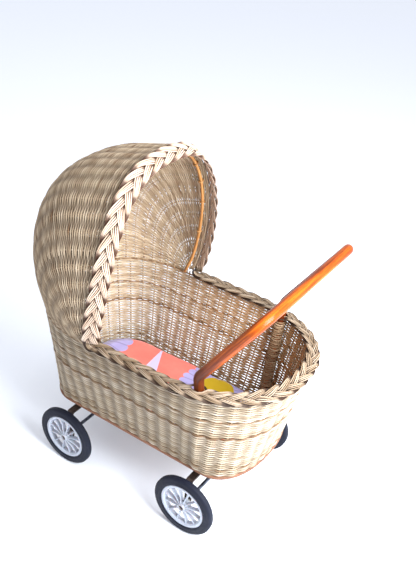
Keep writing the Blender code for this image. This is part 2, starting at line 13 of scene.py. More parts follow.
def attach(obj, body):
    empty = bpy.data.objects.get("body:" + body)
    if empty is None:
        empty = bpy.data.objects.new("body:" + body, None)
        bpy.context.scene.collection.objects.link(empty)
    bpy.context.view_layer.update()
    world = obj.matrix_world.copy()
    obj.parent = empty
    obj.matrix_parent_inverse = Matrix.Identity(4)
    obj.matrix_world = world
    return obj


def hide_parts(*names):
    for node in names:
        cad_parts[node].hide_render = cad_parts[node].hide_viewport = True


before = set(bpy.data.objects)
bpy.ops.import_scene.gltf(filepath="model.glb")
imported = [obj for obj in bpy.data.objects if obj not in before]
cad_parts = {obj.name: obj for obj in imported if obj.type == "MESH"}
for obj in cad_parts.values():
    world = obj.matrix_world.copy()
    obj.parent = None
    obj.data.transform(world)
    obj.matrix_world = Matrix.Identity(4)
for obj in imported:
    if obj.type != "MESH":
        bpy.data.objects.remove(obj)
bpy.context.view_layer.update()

BODY = "pram"
SIDES = {"near": -1.0, "far": 1.0}
SEED = 7

# Dimensions shared with the CAD
WHEEL_RADIUS = 0.0625
WHEEL_Y = 0.1366
AXLE_X = {"front": 0.1298, "rear": -0.1554}
BOARD_BOTTOM, BOARD_TOP, BOARD_LIP = 0.1370, 0.1430, 0.0040
FOOT = {"half": 0.1155, "front_x": 0.1471, "front_a": 0.0690, "rear_x": -0.1579, "rear_a": 0.0720}
RIM = {"half": 0.1520, "front_x": 0.0671, "front_a": 0.1880, "rear_x": -0.0842, "rear_a": 0.1682}
FRONT_POWER = (2.25, 2.30)
REAR_POWER = (2.25, 2.50)
WALL_BOTTOM, WALL_TOP = 0.1433, 0.3315
LEG_BULGE, LEG_BULGE_WIDTH = 0.0030, 0.0120
BORDER_Z = 0.3383
BORDER_END_TILT = math.radians(20.0)
HOOD_BASE = 0.3318
ARCH_HEIGHT, ARCH_HALF, ARCH_POWER = 0.3145, 0.1680, 2.70
ARCH_FOOT_X, ARCH_FOOT_TUCK, ARCH_TUCK_HEIGHT = -0.0692, 0.0160, 0.0220
ARCH_LEAN = (0.0778, -0.0483)
ARCH_BAND_TILT = math.radians(29.0)
HOOD_PROFILE_POWER, HOOD_BULGE, HOOD_BULGE_SKEW, HOOD_SIDE_BULGE = 1.60, 0.3850, 0.2850, 0.0720
HOOP_BACK, HOOP_IN, HOOP_RADIUS = 0.0190, 0.0092, 0.0030
LEG_X, LEG_RADIUS, ARM_RADIUS = 0.1401, 0.0085, 0.0089
LEG_INSET = (0.0116, 0.0126)
BEND_Z, CROSSBAR_X, CROSSBAR_Z, CROSSBAR_HALF = 0.3670, 0.2446, 0.5235, 0.1500
CORNER_RADIUS, BEND_RADIUS = 0.0280, 0.0240
SLEEVE_ANGLE = math.radians(112.0)
MATTRESS = {"half": 0.1000, "front_x": 0.0776, "front_a": 0.1050, "rear_x": -0.1180, "rear_a": 0.1010}
MATTRESS_BOTTOM, MATTRESS_TOP, MATTRESS_POWER = 0.1440, 0.1720, 2.5

# Weave
TUB_STAKES, TUB_STEPS, TUB_PITCH = 52, 6, 0.00280
# Share of the painted recess shade kept on the canes' inner faces
INNER_SHADE_SHARE = 0.30
HOOD_STAKES, HOOD_STEPS, HOOD_PITCH, HOOD_LEAST_PITCH = 28, 6, 0.00250, 0.00235
STAKE_RADIUS, HOOD_DEPTH = 0.0017, 0.0016
LOWER_DEPTH, UPPER_DEPTH, WALE_DEPTH = 0.0020, 0.0017, 0.0026
LOWER_CANE, UPPER_CANE = (0.00160, 0.00160), (0.00168, 0.00175)
WALE_CANE, WALE_TWIST, SEAM_CANE, SEAM_BACK = 0.0011, 0.0010, (0.0013, 0.0012), 0.012
SWING_UNEVEN, TALL_UNEVEN = 0.08, 0.07
TUB_WANDER, TUB_SHIFT, HOOD_WANDER, HOOD_SHIFT = 0.00028, 0.00012, 0.00025, 0.0001

# Hood rows: the cane's least and greatest half height, its share of the spacing, and how far a row runs on
# past its end. Thinning is how crowded, in halvings, the rows are; spread is how much wider those left lie.
HOOD_CANE, HOOD_OVERLAP = (0.00134, 0.0022), 0.57
HOOD_THICK, ROW_TAIL, TUCKED_STEP = 0.0018, 0.22, 0.0028
LATE_ENDING, ENDING_SPAN = 0.415, 0.25
HOOD_FOOT_ANGLE, CROWN_MARGIN, LEAST_STAKE, WEAVE_FOOT = 0.0075, 0.0005, 0.03, 0.001
THINNING = [0, 0.25, 0.415, 0.665, 1, 1.25, 1.415, 1.665, 2, 2.25, 2.415, 2.665, 3, 3.25]
SPREAD = [1, 4 / 3, 4 / 3, 2, 2, 8 / 3, 8 / 3, 4, 4, 16 / 3, 16 / 3, 8, 8, 32 / 3]

# Twined rows of the tub: their share of the wall's height and how many rows they take
WALES = {0.075: 1, 0.525: 2, 0.745: 1}

# Plait
PLAIT_PITCH, PLAIT_DEPTH, PLAIT_CORNER = 0.1420, 0.0021, 0.10
PLAIT_BUNDLES, PLAIT_CANES, PLAIT_STEP, PLAIT_GATHER = 5, 4, 0.00305, 0.42
PLAIT_CANE = {"arch": 0.00128, "rim": 0.00122}
PLAIT_HALF = {"arch": 0.0160, "rim": 0.0140}
PLAIT_WAY = -1
PLAIT_SHARPNESS, PLAIT_FLATNESS, PLAIT_CAMBER = 2.0, 0.85, 0.0004
PLAIT_WANDER, PLAIT_LIFT, PLAIT_UNEVEN = 0.00022, 0.00025, 0.05
LINE_SMOOTHING, FACE_SMOOTHING = 0.036, 0.070
RIM_END_RISE, ARCH_LIFT, ARCH_START = 0.0014, 0.0004, 0.010
LEG_CLEARANCE, LEG_REACH, LEG_EASE = 0.0004, 1.6, 0.62

# Loops that tie the hoop, leg sleeves and handle
LOOP_PLACES, LOOP_TURNS, LOOP_ADVANCE, LOOP_CANE = (0.07, 0.96, 0.072), 1.25, 0.0032, (0.0014, 0.0010)
WRAP_FOOT, WRAP_PITCH, WRAP_HALF, WRAP_OUT = 0.0026, 0.0041, (0.00195, 0.0012), 0.0018
WRAP_WAVE, WRAP_SHIFT = 0.0006, 0.0003
HANDLE_FOOT, HANDLE_EASE, HANDLE_UNEVEN, HANDLE_POINTS = 0.0006, 0.006, 0.012, 260

# Mattress: inset from its outline, how far the filling may push it out and up, and its swelling
PAD_INSET, PAD_ROUNDING, PAD_VOXEL, PAD_LOWERED, PAD_THINNED = 0.0025, 0.012, 0.005, 0.001, 0.004
PAD_SPREAD, PAD_RISE, PAD_TALLEST = 0.0014, 0.007, 0.006
PAD_PRESSURE, PAD_FRAMES = 4.0, 20
PUCKER_X, PUCKER_WIDTH, PUCKER_RISE, PUCKER_WAVES = -0.185, 0.022, 0.0016, 420.0
CROWN_X, CROWN_REACH, CROWN_RISE = 0.045, (0.10, 0.07), 0.0022

# Cane and wood colours
TONE_SPACING = 61.0
AMBER, AMBER_REACH = (0.40, 0.190, 0.068), (-0.17, 0.15)
# Tint of the painted shade over the handle's bends
BEND_SHADE = (0.045, 0.008, 0.002)
# Handle marks, each a place, the reach where it is strongest, the reach where it has faded, and its tint: a
# knot, then painted shade over each leg's bend
DARK_SPOTS = (((0.1541, -0.1413, 0.3801), 0.0014, 0.0036, (0.012, 0.004, 0.006)),
              ((LEG_X, -0.135, 0.346), 0.024, 0.095, BEND_SHADE),
              ((LEG_X, 0.135, 0.346), 0.020, 0.080, BEND_SHADE))

# Print: each daisy's centre, petals, reach and heart
DAISIES = ((0.064, 0.050, 26, 0.076, 0.036), (-0.226, 0.038, 18, 0.078, 0.014),
           (0.062, -0.112, 26, 0.060, 0.026), (-0.095, -0.062, 22, 0.058, 0.024))
PRINT_EDGE = 0.0003

# Camera and lights: each light's place, target, size, watts and colour
CAMERA_PLACE, CAMERA_LENS = (0.62918, -0.92204, 1.13190), 46.65
CAMERA_TURNS = (31.72, 33.1, 4.83)
LIGHTS = {
    "key_light": ((1.60, -0.10, 1.15), (0.0, 0, 0.32), 1.2, 72.0, (0.95, 0.965, 1.0)),
    "hood_light": ((0.62, -0.16, 0.76), (-0.08, 0.12, 0.47), 0.5, 12.0, (0.90, 0.95, 1.0)),
    "top_light": ((-0.2, 0.6, 2.2), (0, 0, 0.3), 1.6, 6.0, (1.0, 0.99, 0.98)),
}


# ---------------------------------------------------------------- geometry helpers

def unit(v):
    return v / np.maximum(np.linalg.norm(v, axis=-1, keepdims=True), 1e-12)


def dot(a, b):
    return np.sum(a * b, -1, keepdims=True)


def mix(a, b, t):
    return a + (b - a) * t


def power(value, exponent):
    return np.sign(value) * np.abs(value) ** (2 / exponent)


def lengths(points):
    """Distance along a line of points."""
    return np.concatenate([[0.0], np.cumsum(np.linalg.norm(np.diff(points, axis=0), axis=1))])


def resample(points, count):
    """The line's points spaced evenly."""
    along = lengths(points)
    want = np.linspace(0, along[-1], count)
    return np.stack([np.interp(want, along, points[:, k]) for k in range(3)], 1)


def waver(rng, at, cycles, size):
    """A smooth wandering offset that closes on itself; at runs 0 to 1."""
    total = np.zeros_like(at)
    for n in cycles:
        total += np.sin(2 * np.pi * (n * at + rng.random())) * rng.normal(0, 1)
    return total * size / math.sqrt(len(cycles))


def quads_and_caps(name, verts, loops, starts):
    """A smooth mesh from flat lists of points, face corners and where each face starts."""
    mesh = bpy.data.meshes.new(name)
    mesh.vertices.add(len(verts))
    mesh.vertices.foreach_set("co", np.asarray(verts, np.float32).ravel())
    mesh.loops.add(len(loops))
    mesh.loops.foreach_set("vertex_index", np.asarray(loops, np.int32))
    mesh.polygons.add(len(starts))
    mesh.polygons.foreach_set("loop_start", np.asarray(starts, np.int32))
    mesh.update(calc_edges=True)
    mesh.shade_smooth()
    return mesh


def placed(name, mesh, look, body, nodes=(), location=(0, 0, 0), heading=0.0):
    """A piece on its body, standing for the CAD nodes named."""
    obj = bpy.data.objects.new(name, mesh)
    obj.location = location
    obj.rotation_euler = (0, 0, heading)
    bpy.context.scene.collection.objects.link(obj)
    mesh.materials.append(look)
    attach(obj, body)
    if nodes:
        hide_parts(*nodes)
    return obj


class Strands:
    """Canes gathered into one mesh. Each point keeps its place along the cane, round it, and the cane's tone.

    Recess is the share of painted shade: 0 where a face stands proud, 1 where the cane lies behind its
    neighbours.

    The map named OFBake gives each cane its own strip, so that a baked colour keeps to its cane.
    """

    def __init__(self, sides):
        self.sides = sides
        self.canes = []

    def add(self, centre, across, normal, half_across, half_thick, tone, closed=False, bulge=1.0):
        """Bulge runs from 1, where the cane stands out along its normal, to -1, where it stands in."""
        n = len(centre)
        self.canes.append((centre, across, normal, np.broadcast_to(half_across, n),
                           np.broadcast_to(half_thick, n), tone, closed, np.broadcast_to(bulge, n)))

    def build(self, name, look, slot, nodes=(), body=BODY):
        sides = self.sides
        turn = 2 * np.pi * np.arange(sides) / sides
        outward = np.sin(turn)
        verts, loops, starts, along, around, tones, recess_shade, maps = [], [], [], [], [], [], [], []
        base = corner = 0
        for row, (centre, across, normal, wide, thick, tone, closed, bulge) in enumerate(self.canes):
            n = len(centre)
            ring = (centre[:, None] + across[:, None] * (wide[:, None] * np.cos(turn))[..., None]
                    + normal[:, None] * (thick[:, None] * np.sin(turn))[..., None])
            verts.append(ring.reshape(-1, 3))
            along.append(np.repeat(lengths(centre), sides))
            around.append(np.tile(np.arange(sides) / sides, n))
            tones.append(np.full(n * sides, tone))
            # Painted shade on faces turned away from the cane's bulge, weaker on the inner faces
            hidden = 0.5 - 0.5 * bulge[:, None] * outward
            recess_shade.append((hidden * np.where(outward < -0.1, INNER_SHADE_SHARE, 1.0)).ravel())
            steps = n if closed else n - 1
            i, k = np.meshgrid(np.arange(steps), np.arange(sides), indexing="ij")
            after, beside = (i + 1) % n, (k + 1) % sides
            here, there = i * sides, after * sides
            quads = np.stack([here + k, here + beside, there + beside, there + k], -1)
            loops.append(quads.ravel() + base)
            starts.append(corner + 4 * np.arange(steps * sides))
            u = np.stack([i, i, i + 1, i + 1], -1) / steps
            v = (row + 0.06 + 0.88 * np.stack([k, k + 1, k + 1, k], -1) / sides) / len(self.canes)
            maps.append(np.stack([u, v], -1).reshape(-1, 2))
            corner += 4 * steps * sides
            if not closed:
                for first, order in ((0, -1), ((n - 1) * sides, 1)):
                    loops.append(base + first + np.arange(sides)[::order])
                    starts.append(np.array([corner]))
                    maps.append(np.tile([[0.5, (row + 0.5) / len(self.canes)]], (sides, 1)))
                    corner += sides
            base += n * sides
        mesh = quads_and_caps(name, np.concatenate(verts), np.concatenate(loops), np.concatenate(starts))
        for label, values in (("along", along), ("around", around), ("tone", tones), ("recess_shade", recess_shade)):
            mesh.attributes.new(label, "FLOAT", "POINT").data.foreach_set("value", np.concatenate(values))
        mesh.uv_layers.new(name="OFBake").data.foreach_set("uv", np.concatenate(maps).ravel())
        return placed(name, mesh, look, body, nodes)


# ---------------------------------------------------------------- materials

class Look:
    """A Principled material: constant sockets by name, then nodes linked one to the next."""

    def __init__(self, name, **sockets):
        self.material = bpy.data.materials.new(name)
        self.material.use_nodes = True
        self.tree = self.material.node_tree
        self.shader = self.tree.nodes["Principled BSDF"]
        for key, value in sockets.items():
            label = key.replace("_", " ").title().replace("Ior", "IOR")
            self.shader.inputs[label].default_value = value

    def new(self, kind, inputs, **settings):
        """A shader node with its settings, its input values and its incoming links."""
        made = self.tree.nodes.new("ShaderNode" + kind)
        for key, value in settings.items():
            setattr(made, key, value)
        for key, value in inputs.items():
            if isinstance(value, bpy.types.NodeSocket):
                self.tree.links.new(value, made.inputs[key])
            else:
                made.inputs[key].default_value = value
        return made

    def out(self, kind, inputs, output=0, **settings):
        return self.new(kind, inputs, **settings).outputs[output]

    def attribute(self, name):
        return self.out("Attribute", {}, "Fac", attribute_name=name)

    def place(self):
        return self.out("TexCoord", {}, "Object")

    def math(self, operation, a, b=0.0):
        return self.out("Math", {0: a, 1: b}, operation=operation)

    def times(self, a, b):
        return self.math("MULTIPLY", a, b)

    def plus(self, a, b):
        return self.math("ADD", a, b)

    def minus(self, a, b):
        return self.math("SUBTRACT", a, b)

    def vector(self, operation, a, b=(0, 0, 0), output=0):
        return self.out("VectorMath", {0: a, 1: b}, output, operation=operation)

    def noise(self, vector, scale, detail=3.0, roughness=0.55):
        return self.out("TexNoise", {"Vector": vector, "Scale": scale, "Detail": detail,
                                     "Roughness": roughness}, "Fac")

    def span(self, value, low, high, start=0.0, end=1.0):
        """Start where the value is at or below low, end at or above high, and even between them."""
        return self.out("MapRange", {"Value": value, "From Min": low, "From Max": high,
                                     "To Min": start, "To Max": end})

    def ramp(self, factor, *stops):
        """Colours or greys at places from 0 to 1."""
        made = self.new("ValToRGB", {"Fac": factor})
        elements = made.color_ramp.elements
        while len(elements) < len(stops):
            elements.new(0.5)
        for element, (place, colour) in zip(elements, stops):
            element.position = place
            element.color = (colour, colour, colour, 1) if isinstance(colour, float) else (*colour, 1)
        return made.outputs["Color"]

    def blend(self, factor, a, b, mode="MIX"):
        values = {key: (*value, 1) if isinstance(value, tuple) else value
                  for key, value in ((0, factor), (6, a), (7, b))}
        return self.out("Mix", values, 2, data_type="RGBA", blend_type=mode)

    def link(self, value, socket):
        self.tree.links.new(value, self.shader.inputs[socket])

    def finish(self, colour, grain, rough, height, distance, strength):
        """The material, given its colour, a roughness that follows the grain, and the bump of a height."""
        self.link(colour, "Base Color")
        self.link(self.ramp(grain, *rough), "Roughness")
        self.link(self.out("Bump", {"Height": height, "Distance": distance, "Strength": strength}, "Normal"),
                  "Normal")
        return self.material


def mix_tint(tint, share):
    """White taken part of the way to a tint."""
    return tuple(1 - share * (1 - part) for part in tint)


def cane_look(name, dark, middle, light, stain, stain_from=0.60, roughness=0.55, inner_amber=0.0,
              shadow=(0.13, 0.08, 0.045), edge=0.5):
    """Peeled cane: each strand has its own tone, blotches along it and fine fibres.

    Inner amber is how far the strands' inner faces are tinted amber, more towards the foot end. Shadow is the
    tint of the painted shade in the deepest recesses, and edge is how much of that painted shade lies along
    the strands' sides.
    """
    look = Look(name, specular_ior_level=0.35)
    tone, along, around = (look.attribute(key) for key in ("tone", "along", "around"))
    strand = look.times(tone, TONE_SPACING)
    blotch_at = look.out("CombineXYZ", {"X": along, "Y": strand})
    fibre_at = look.out("CombineXYZ", {"X": look.times(along, 0.12), "Y": strand,
                                       "Z": look.times(around, 0.10)})
    fibre = look.noise(fibre_at, 90.0)
    shade = look.plus(look.times(tone, 0.40), look.times(look.noise(blotch_at, 22.0, 4.0), 0.60))
    colour = look.ramp(shade, (0.12, dark), (0.48, middle), (0.88, light))
    stained = look.ramp(look.noise(blotch_at, 9.0), (stain_from, 0.0), (stain_from + 0.12, 1.0))
    colour = look.blend(stained, colour, stain)
    colour = look.blend(0.30, colour, look.ramp(fibre, (0.3, 0.55), (0.7, 1.0)), "MULTIPLY")
    # Painted shade: each face darkened towards the shadow tint by its recess share
    dust_and_shade = look.ramp(look.attribute("recess_shade"), (0.08, (1.0, 1.0, 1.0)), (0.50, mix_tint(shadow, edge)),
                     (0.85, shadow))
    colour = look.blend(1.0, colour, dust_and_shade, "MULTIPLY")
    # Inner faces tinted amber, more towards the foot end
    if inner_amber:
        inner = look.ramp(around, (0.44, 0.0), (0.56, 1.0))
        reach = look.out("SeparateXYZ", {0: look.place()}, "X")
        amber_share = look.span(reach, *AMBER_REACH, 0.12, inner_amber)
        colour = look.blend(look.times(inner, amber_share), colour, AMBER)
    return look.finish(colour, fibre, ((0.2, roughness + 0.15), (0.8, roughness)), fibre, 0.0002, 0.6)


def lacquer_look():
    """Orange-brown varnish over streaked wood, with a knot, and painted shade darkening the bends."""
    look = Look("lacquered_wood", specular_ior_level=0.12, coat_weight=0.14, coat_roughness=0.12)
    turn = look.times(look.attribute("around"), 2 * math.pi)
    streak_at = look.out("CombineXYZ", {"X": look.times(look.attribute("along"), 0.9),
                                        "Y": look.times(look.math("SINE", turn), 0.16),
                                        "Z": look.times(look.math("COSINE", turn), 0.16)})
    broad, fine = look.noise(streak_at, 9.0, 4.0, 0.6), look.noise(streak_at, 42.0, 3.0, 0.6)
    colour = look.ramp(broad, (0.30, (0.080, 0.012, 0.002)), (0.47, (0.27, 0.045, 0.003)),
                       (0.62, (0.43, 0.083, 0.005)), (0.80, (0.56, 0.125, 0.009)))
    colour = look.blend(0.55, colour, look.ramp(fine, (0.35, 0.35), (0.62, 1.0)), "MULTIPLY")
    place = look.place()
    # A knot, and painted shade over the lower arm at each leg's bend
    for spot, near, far, tint in DARK_SPOTS:
        share = look.span(look.vector("DISTANCE", place, spot, "Value"), near, far, 0.85, 0.0)
        colour = look.blend(share, colour, tint)
    return look.finish(colour, fine, ((0.3, 0.42), (0.7, 0.26)), broad, 0.0008, 0.35)


def plastic_look():
    """White moulding, a little yellowed and dusty towards the hub and the tyre."""
    look = Look("white_plastic", specular_ior_level=0.5, subsurface_weight=0.05)
    place = look.place()
    reach = look.vector("LENGTH", look.vector("MULTIPLY", place, (1, 0, 1)), output="Value")
    dust_and_shade = look.noise(place, 150.0, 4.0, 0.6)
    near_hub = look.span(reach, 0.005, 0.024, 0.55, 0.0)
    near_rim = look.span(reach, 0.030, 0.0395, 0.0, 0.25)
    share = look.times(look.plus(near_hub, near_rim), dust_and_shade)
    colour = look.blend(share, (0.42, 0.455, 0.53), (0.22, 0.175, 0.13))
    return look.finish(colour, dust_and_shade, ((0.3, 0.30), (0.7, 0.45)), dust_and_shade, 0.0002, 0.3)


def rubber_look():
    """Black rubber, scuffed grey in patches."""
    look = Look("black_rubber", specular_ior_level=0.22)
    place = look.place()
    scuffs = look.noise(place, 160.0, 5.0, 0.65)
    shade = look.plus(look.times(scuffs, 0.5), look.times(look.noise(place, 28.0), 0.5))
    colour = look.ramp(shade, (0.35, (0.0025, 0.0035, 0.010)), (0.62, (0.007, 0.009, 0.020)),
                       (0.78, (0.028, 0.029, 0.040)))
    return look.finish(colour, scuffs, ((0.3, 0.48), (0.7, 0.72)), scuffs, 0.0003, 0.4)


def metal_look(name, dark, light, scale, roughness, metallic):
    """Steel or worn paint: mottled colour, with roughness that follows it."""
    look = Look(name, metallic=metallic)
    place = look.place()
    mottle = look.noise(place, scale, 5.0, 0.65)
    return look.finish(look.ramp(mottle, (0.38, dark), (0.66, light)), mottle,
                       ((0.3, roughness), (0.7, roughness + 0.22)), look.noise(place, scale * 4),
                       0.00015, 0.4)


def wood_look(name, dark, light):
    """Stained plywood or batten with grain along X."""
    look = Look(name, specular_ior_level=0.3)
    grain = look.noise(look.vector("MULTIPLY", look.place(), (6.0, 90.0, 90.0)), 1.6, 5.0, 0.6)
    return look.finish(look.ramp(grain, (0.30, dark), (0.70, light)), grain,
                       ((0.3, 0.62), (0.7, 0.80)), grain, 0.0003, 0.5)


def daisy(look, across, along, petals, reach, heart):
    """Shares of the petals, of the lines between them and of the heart of a flower."""
    away = look.math("SQRT", look.plus(look.times(across, across), look.times(along, along)))
    turn = look.math("ARCTAN2", along, across)
    lobe = look.math("ABSOLUTE", look.math("COSINE", look.times(turn, petals / 2)))
    lobe = look.math("POWER", lobe, 0.5)
    edge = look.times(look.plus(look.times(lobe, 0.12), 0.88), reach)
    return (look.span(look.minus(edge, away), -PRINT_EDGE, PRINT_EDGE),
            look.span(lobe, 0.30, 0.62, 1.0, 0.0),
            look.span(look.minus(heart, away), -PRINT_EDGE, PRINT_EDGE))


def cotton_look():
    """Coral cotton printed with large daisies and one long petal, over a fine plain weave."""
    look = Look("print_cotton", sheen_weight=0.25, sheen_roughness=0.5, specular_ior_level=0.2)
    place = look.place()
    split = look.new("SeparateXYZ", {0: place}).outputs
    cloud = look.noise(place, 30.0)
    colour = look.ramp(cloud, (0.3, (0.96, 0.165, 0.125)), (0.7, (1.0, 0.215, 0.165)))
    lilac = look.ramp(cloud, (0.3, (0.37, 0.335, 0.63)), (0.7, (0.45, 0.41, 0.71)))
    for x, y, *shape in DAISIES:
        petal, line, heart = daisy(look, look.minus(split["X"], x), look.minus(split["Y"], y), *shape)
        striped = look.blend(look.times(line, 0.5), lilac, (0.16, 0.13, 0.24))
        colour = look.blend(heart, look.blend(petal, colour, striped), (0.52, 0.34, 0.001))
    rise = look.minus(split["Y"], 0.018)
    slant = look.minus(look.plus(split["X"], 0.071), look.times(rise, -0.30))
    width = look.times(look.minus(0.072, rise), 0.20)
    spear = look.span(look.minus(width, look.math("ABSOLUTE", slant)), -PRINT_EDGE, PRINT_EDGE)
    colour = look.blend(look.times(spear, look.span(rise, -0.002, 0.0)), colour, (0.58, 0.53, 0.74))
    weave = look.times(*(look.out("TexWave", {"Vector": place, "Scale": 320.0}, "Fac", bands_direction=axis)
                         for axis in "XY"))
    colour = look.blend(0.12, colour, look.ramp(weave, (0.0, 0.6), (1.0, 1.0)), "MULTIPLY")
    return look.finish(colour, cloud, ((0.3, 0.78), (0.7, 0.90)), weave, 0.0001, 0.3)


# ---------------------------------------------------------------- tub weave

def tub_point(turn, height):
    """The wall's middle surface: turn runs 0 to 4 round front end, far side, rear end and near side."""
    shape = {key: mix(FOOT[key], RIM[key], height) for key in FOOT}
    turn = np.mod(turn, 4.0)
    quarter = np.floor(turn)
    part = turn - quarter
    angle = (part - 0.5) * np.pi
    front, rear = mix(*FRONT_POWER, height), mix(*REAR_POWER, height)
    half = shape["half"] + 0 * part
    x = np.select(
        [quarter == 0, quarter == 1, quarter == 2],
        [shape["front_x"] + shape["front_a"] * power(np.cos(angle), front),
         mix(shape["front_x"], shape["rear_x"], part),
         shape["rear_x"] - shape["rear_a"] * power(np.cos(angle), rear)],
        mix(shape["rear_x"], shape["front_x"], part))
    y = np.select([quarter == 0, quarter == 1, quarter == 2],
                  [half * power(np.sin(angle), front), half, -half * power(np.sin(angle), rear)], -half)
    y = y + np.sign(y) * LEG_BULGE * np.exp(-((x - LEG_X) / LEG_BULGE_WIDTH) ** 2)
    z = mix(WALL_BOTTOM, WALL_TOP, height) + 0 * x
    return np.stack([x, y, z], -1)


def tub_frame(turn, height):
    """Points of the wall with their outward and upward directions."""
    step = 1e-3
    point = tub_point(turn, height)
    along = unit(tub_point(turn + step, height) - tub_point(turn - step, height))
    up = unit(tub_point(turn, height + step) - tub_point(turn, height - step))
    out = unit(np.cross(along, up))
    return point, out, np.cross(out, along)


def even_turns(count, height):
    """Turns that divide the wall evenly at a height, from the middle of the foot end."""
    table = np.linspace(0.5, 4.5, 1601)
    along = lengths(tub_point(table, height))
    return np.interp(np.arange(count) / count * along[-1], along, table)


def passing(stake):
    """How far a weaver stands out, 1 to -1, with straight runs from stake to stake."""
    return 0.9 * np.cos(np.pi * stake) + 0.1 * np.cos(3 * np.pi * stake)


def tub_weave(look, wale_look, stake_look):
    """Plain weave round the stakes, each row passing them on the other side from the row below."""
    rng = np.random.default_rng(SEED)
    count = TUB_STAKES * TUB_STEPS
    stake = np.arange(count) / TUB_STEPS
    share = np.arange(count) / count
    top = (BORDER_Z - 0.001 - WALL_BOTTOM) / (WALL_TOP - WALL_BOTTOM)
    rows = int(round((WALL_TOP - WALL_BOTTOM) / TUB_PITCH))
    rings = {"lower": Strands(6), "upper": Strands(6)}
    wales = Strands(6)
    for i in range(rows):
        level = (i + 0.5) / rows
        wale = any(abs(level - place) < 0.5 * wide / rows for place, wide in WALES.items())
        point, out, up = tub_frame(even_turns(count, level), level)
        wander = (waver(rng, share, (2, 5, 9, 17), TUB_WANDER) + rng.normal(0, TUB_SHIFT))[:, None] * up
        if wale:
            for sign in (1, -1):
                twist = sign * np.sin(np.pi * stake) * WALE_TWIST
                bulge = sign * np.cos(np.pi * (stake + i % 2))
                wales.add(point + wander + out * (bulge * WALE_DEPTH)[:, None] + up * twist[:, None],
                          up, out, WALE_CANE, WALE_CANE, rng.random(), True, bulge)
            continue
        zone, depth, (tall, thick) = (("lower", LOWER_DEPTH, LOWER_CANE) if level < 0.5
                                      else ("upper", UPPER_DEPTH, UPPER_CANE))
        bulge = passing(stake + i % 2)
        swing = bulge * depth * (1 + waver(rng, share, (3, 7, 13), SWING_UNEVEN))
        tall = tall * (1 + waver(rng, share, (2, 6, 11), TALL_UNEVEN))
        centre = point + wander + out * swing[:, None]
        rings[zone].add(centre, up, out, tall, thick, rng.random(), True, bulge)
    for zone, strands in rings.items():
        strands.build(f"tub_weavers_{zone}", look, "tub_wicker", ("tub_wall",))
    wales.build("tub_wales", wale_look, "tub_wicker")
    stakes = Strands(6)
    heights = np.linspace(0.004, top, 12)
    fan = np.stack([even_turns(count, height)[::TUB_STEPS] for height in heights], 1)
    for turns in fan:
        point, out, up = (np.concatenate(part) for part in
                          zip(*[tub_frame(np.array([turn]), h) for turn, h in zip(turns, heights)]))
        stakes.add(point, np.cross(up, out), out, STAKE_RADIUS, STAKE_RADIUS, rng.random())
    stakes.build("tub_stakes", stake_look, "tub_wicker")


# ---------------------------------------------------------------- hood weave

def arch_x(rise):
    return ARCH_FOOT_X + ARCH_LEAN[0] * rise + ARCH_LEAN[1] * rise * rise


def arch_yz(angle):
    """Half width and height of the arch, its feet drawn in to the rim."""
    c, s = power(np.cos(angle), ARCH_POWER), power(np.sin(angle), ARCH_POWER)
    height = ARCH_HEIGHT * s
    tuck = ARCH_FOOT_TUCK * np.exp(-height / ARCH_TUCK_HEIGHT)
    return ARCH_HALF * c - np.sign(c) * tuck * np.minimum(1.0, np.abs(c) * 4), height


def hood_point(turn, angle):
    """The hood's middle surface: turn 0 is the arch, pi/2 the rear rim; angle runs foot to foot."""
    arch_y, height = arch_yz(angle)
    c, s = power(np.cos(angle), REAR_POWER[1]), power(np.sin(angle), REAR_POWER[1])
    n = HOOD_PROFILE_POWER
    reach = ((np.sin(turn) / (RIM["rear_a"] * s)) ** n + (np.cos(turn) / height) ** n) ** (-1 / n)
    reach = reach * (1 + HOOD_BULGE * np.sin(2 * turn) ** 2 * (1 + HOOD_BULGE_SKEW * np.cos(2 * turn)))
    width = arch_y * np.cos(turn) ** 2 + RIM["half"] * c * np.sin(turn) ** 2
    width = width * (1 + HOOD_SIDE_BULGE * np.sin(2 * turn) * (1 - np.exp(-reach / 0.05)))
    rise = reach * np.cos(turn) / ARCH_HEIGHT
    lean = (ARCH_LEAN[0] * rise + ARCH_LEAN[1] * rise * rise) * np.cos(turn)
    return np.stack([RIM["rear_x"] + lean - reach * np.sin(turn), width,
                     HOOD_BASE + reach * np.cos(turn)], -1)


def hood_frame(turn, angle):
    """Points of the hood with their outward direction and the directions across the rows and along them."""
    step = 1e-3
    turn = np.clip(turn, 1e-4, math.pi / 2 - 1e-4) + 0 * angle
    point = hood_point(turn, angle)
    around = unit(hood_point(np.minimum(turn + step, math.pi / 2 - 1e-5), angle)
                  - hood_point(np.maximum(turn - step, 1e-5), angle))
    along = unit(hood_point(turn, angle + step) - hood_point(turn, angle - step))
    out = unit(np.cross(around, along))
    centre = np.array([RIM["rear_x"], 0, HOOD_BASE])
    out = out * np.sign(dot(out, point - centre))
    return point, out, unit(around - out * dot(around, out)), along


def hood_angles(count):
    """Angles that divide both the arch and the rear rim about evenly, from foot to foot."""
    low = HOOD_FOOT_ANGLE
    table = low + (math.pi - 2 * low) * (1 - np.cos(np.linspace(0, math.pi, 2401))) / 2
    total = np.zeros_like(table)
    for turn in (0.02, 1.55):
        along = lengths(hood_point(np.full_like(table, turn), table))
        total += along / along[-1]
    return np.interp(np.linspace(0, 2, count), total, table)


def thinned_rows(rows):
    """For each row, its places as neighbours end in pairs: eight rows become six, then four, and so on."""
    places = []
    for number in range(rows):
        scale, found = 1.0, [float(number)]
        while len(found) < 12 and number % 8 not in (1, 2):
            block, rank = divmod(number, 8)
            found.append((block * 8 + max(0, rank - 2) * 8 / 6) * scale)
            if rank in (5, 6):
                break
            number, scale = block * 4 + {0: 0, 3: 1, 4: 2, 7: 3}[rank], scale * 2
            found.append(number * scale)
        places.append(found)
    return places


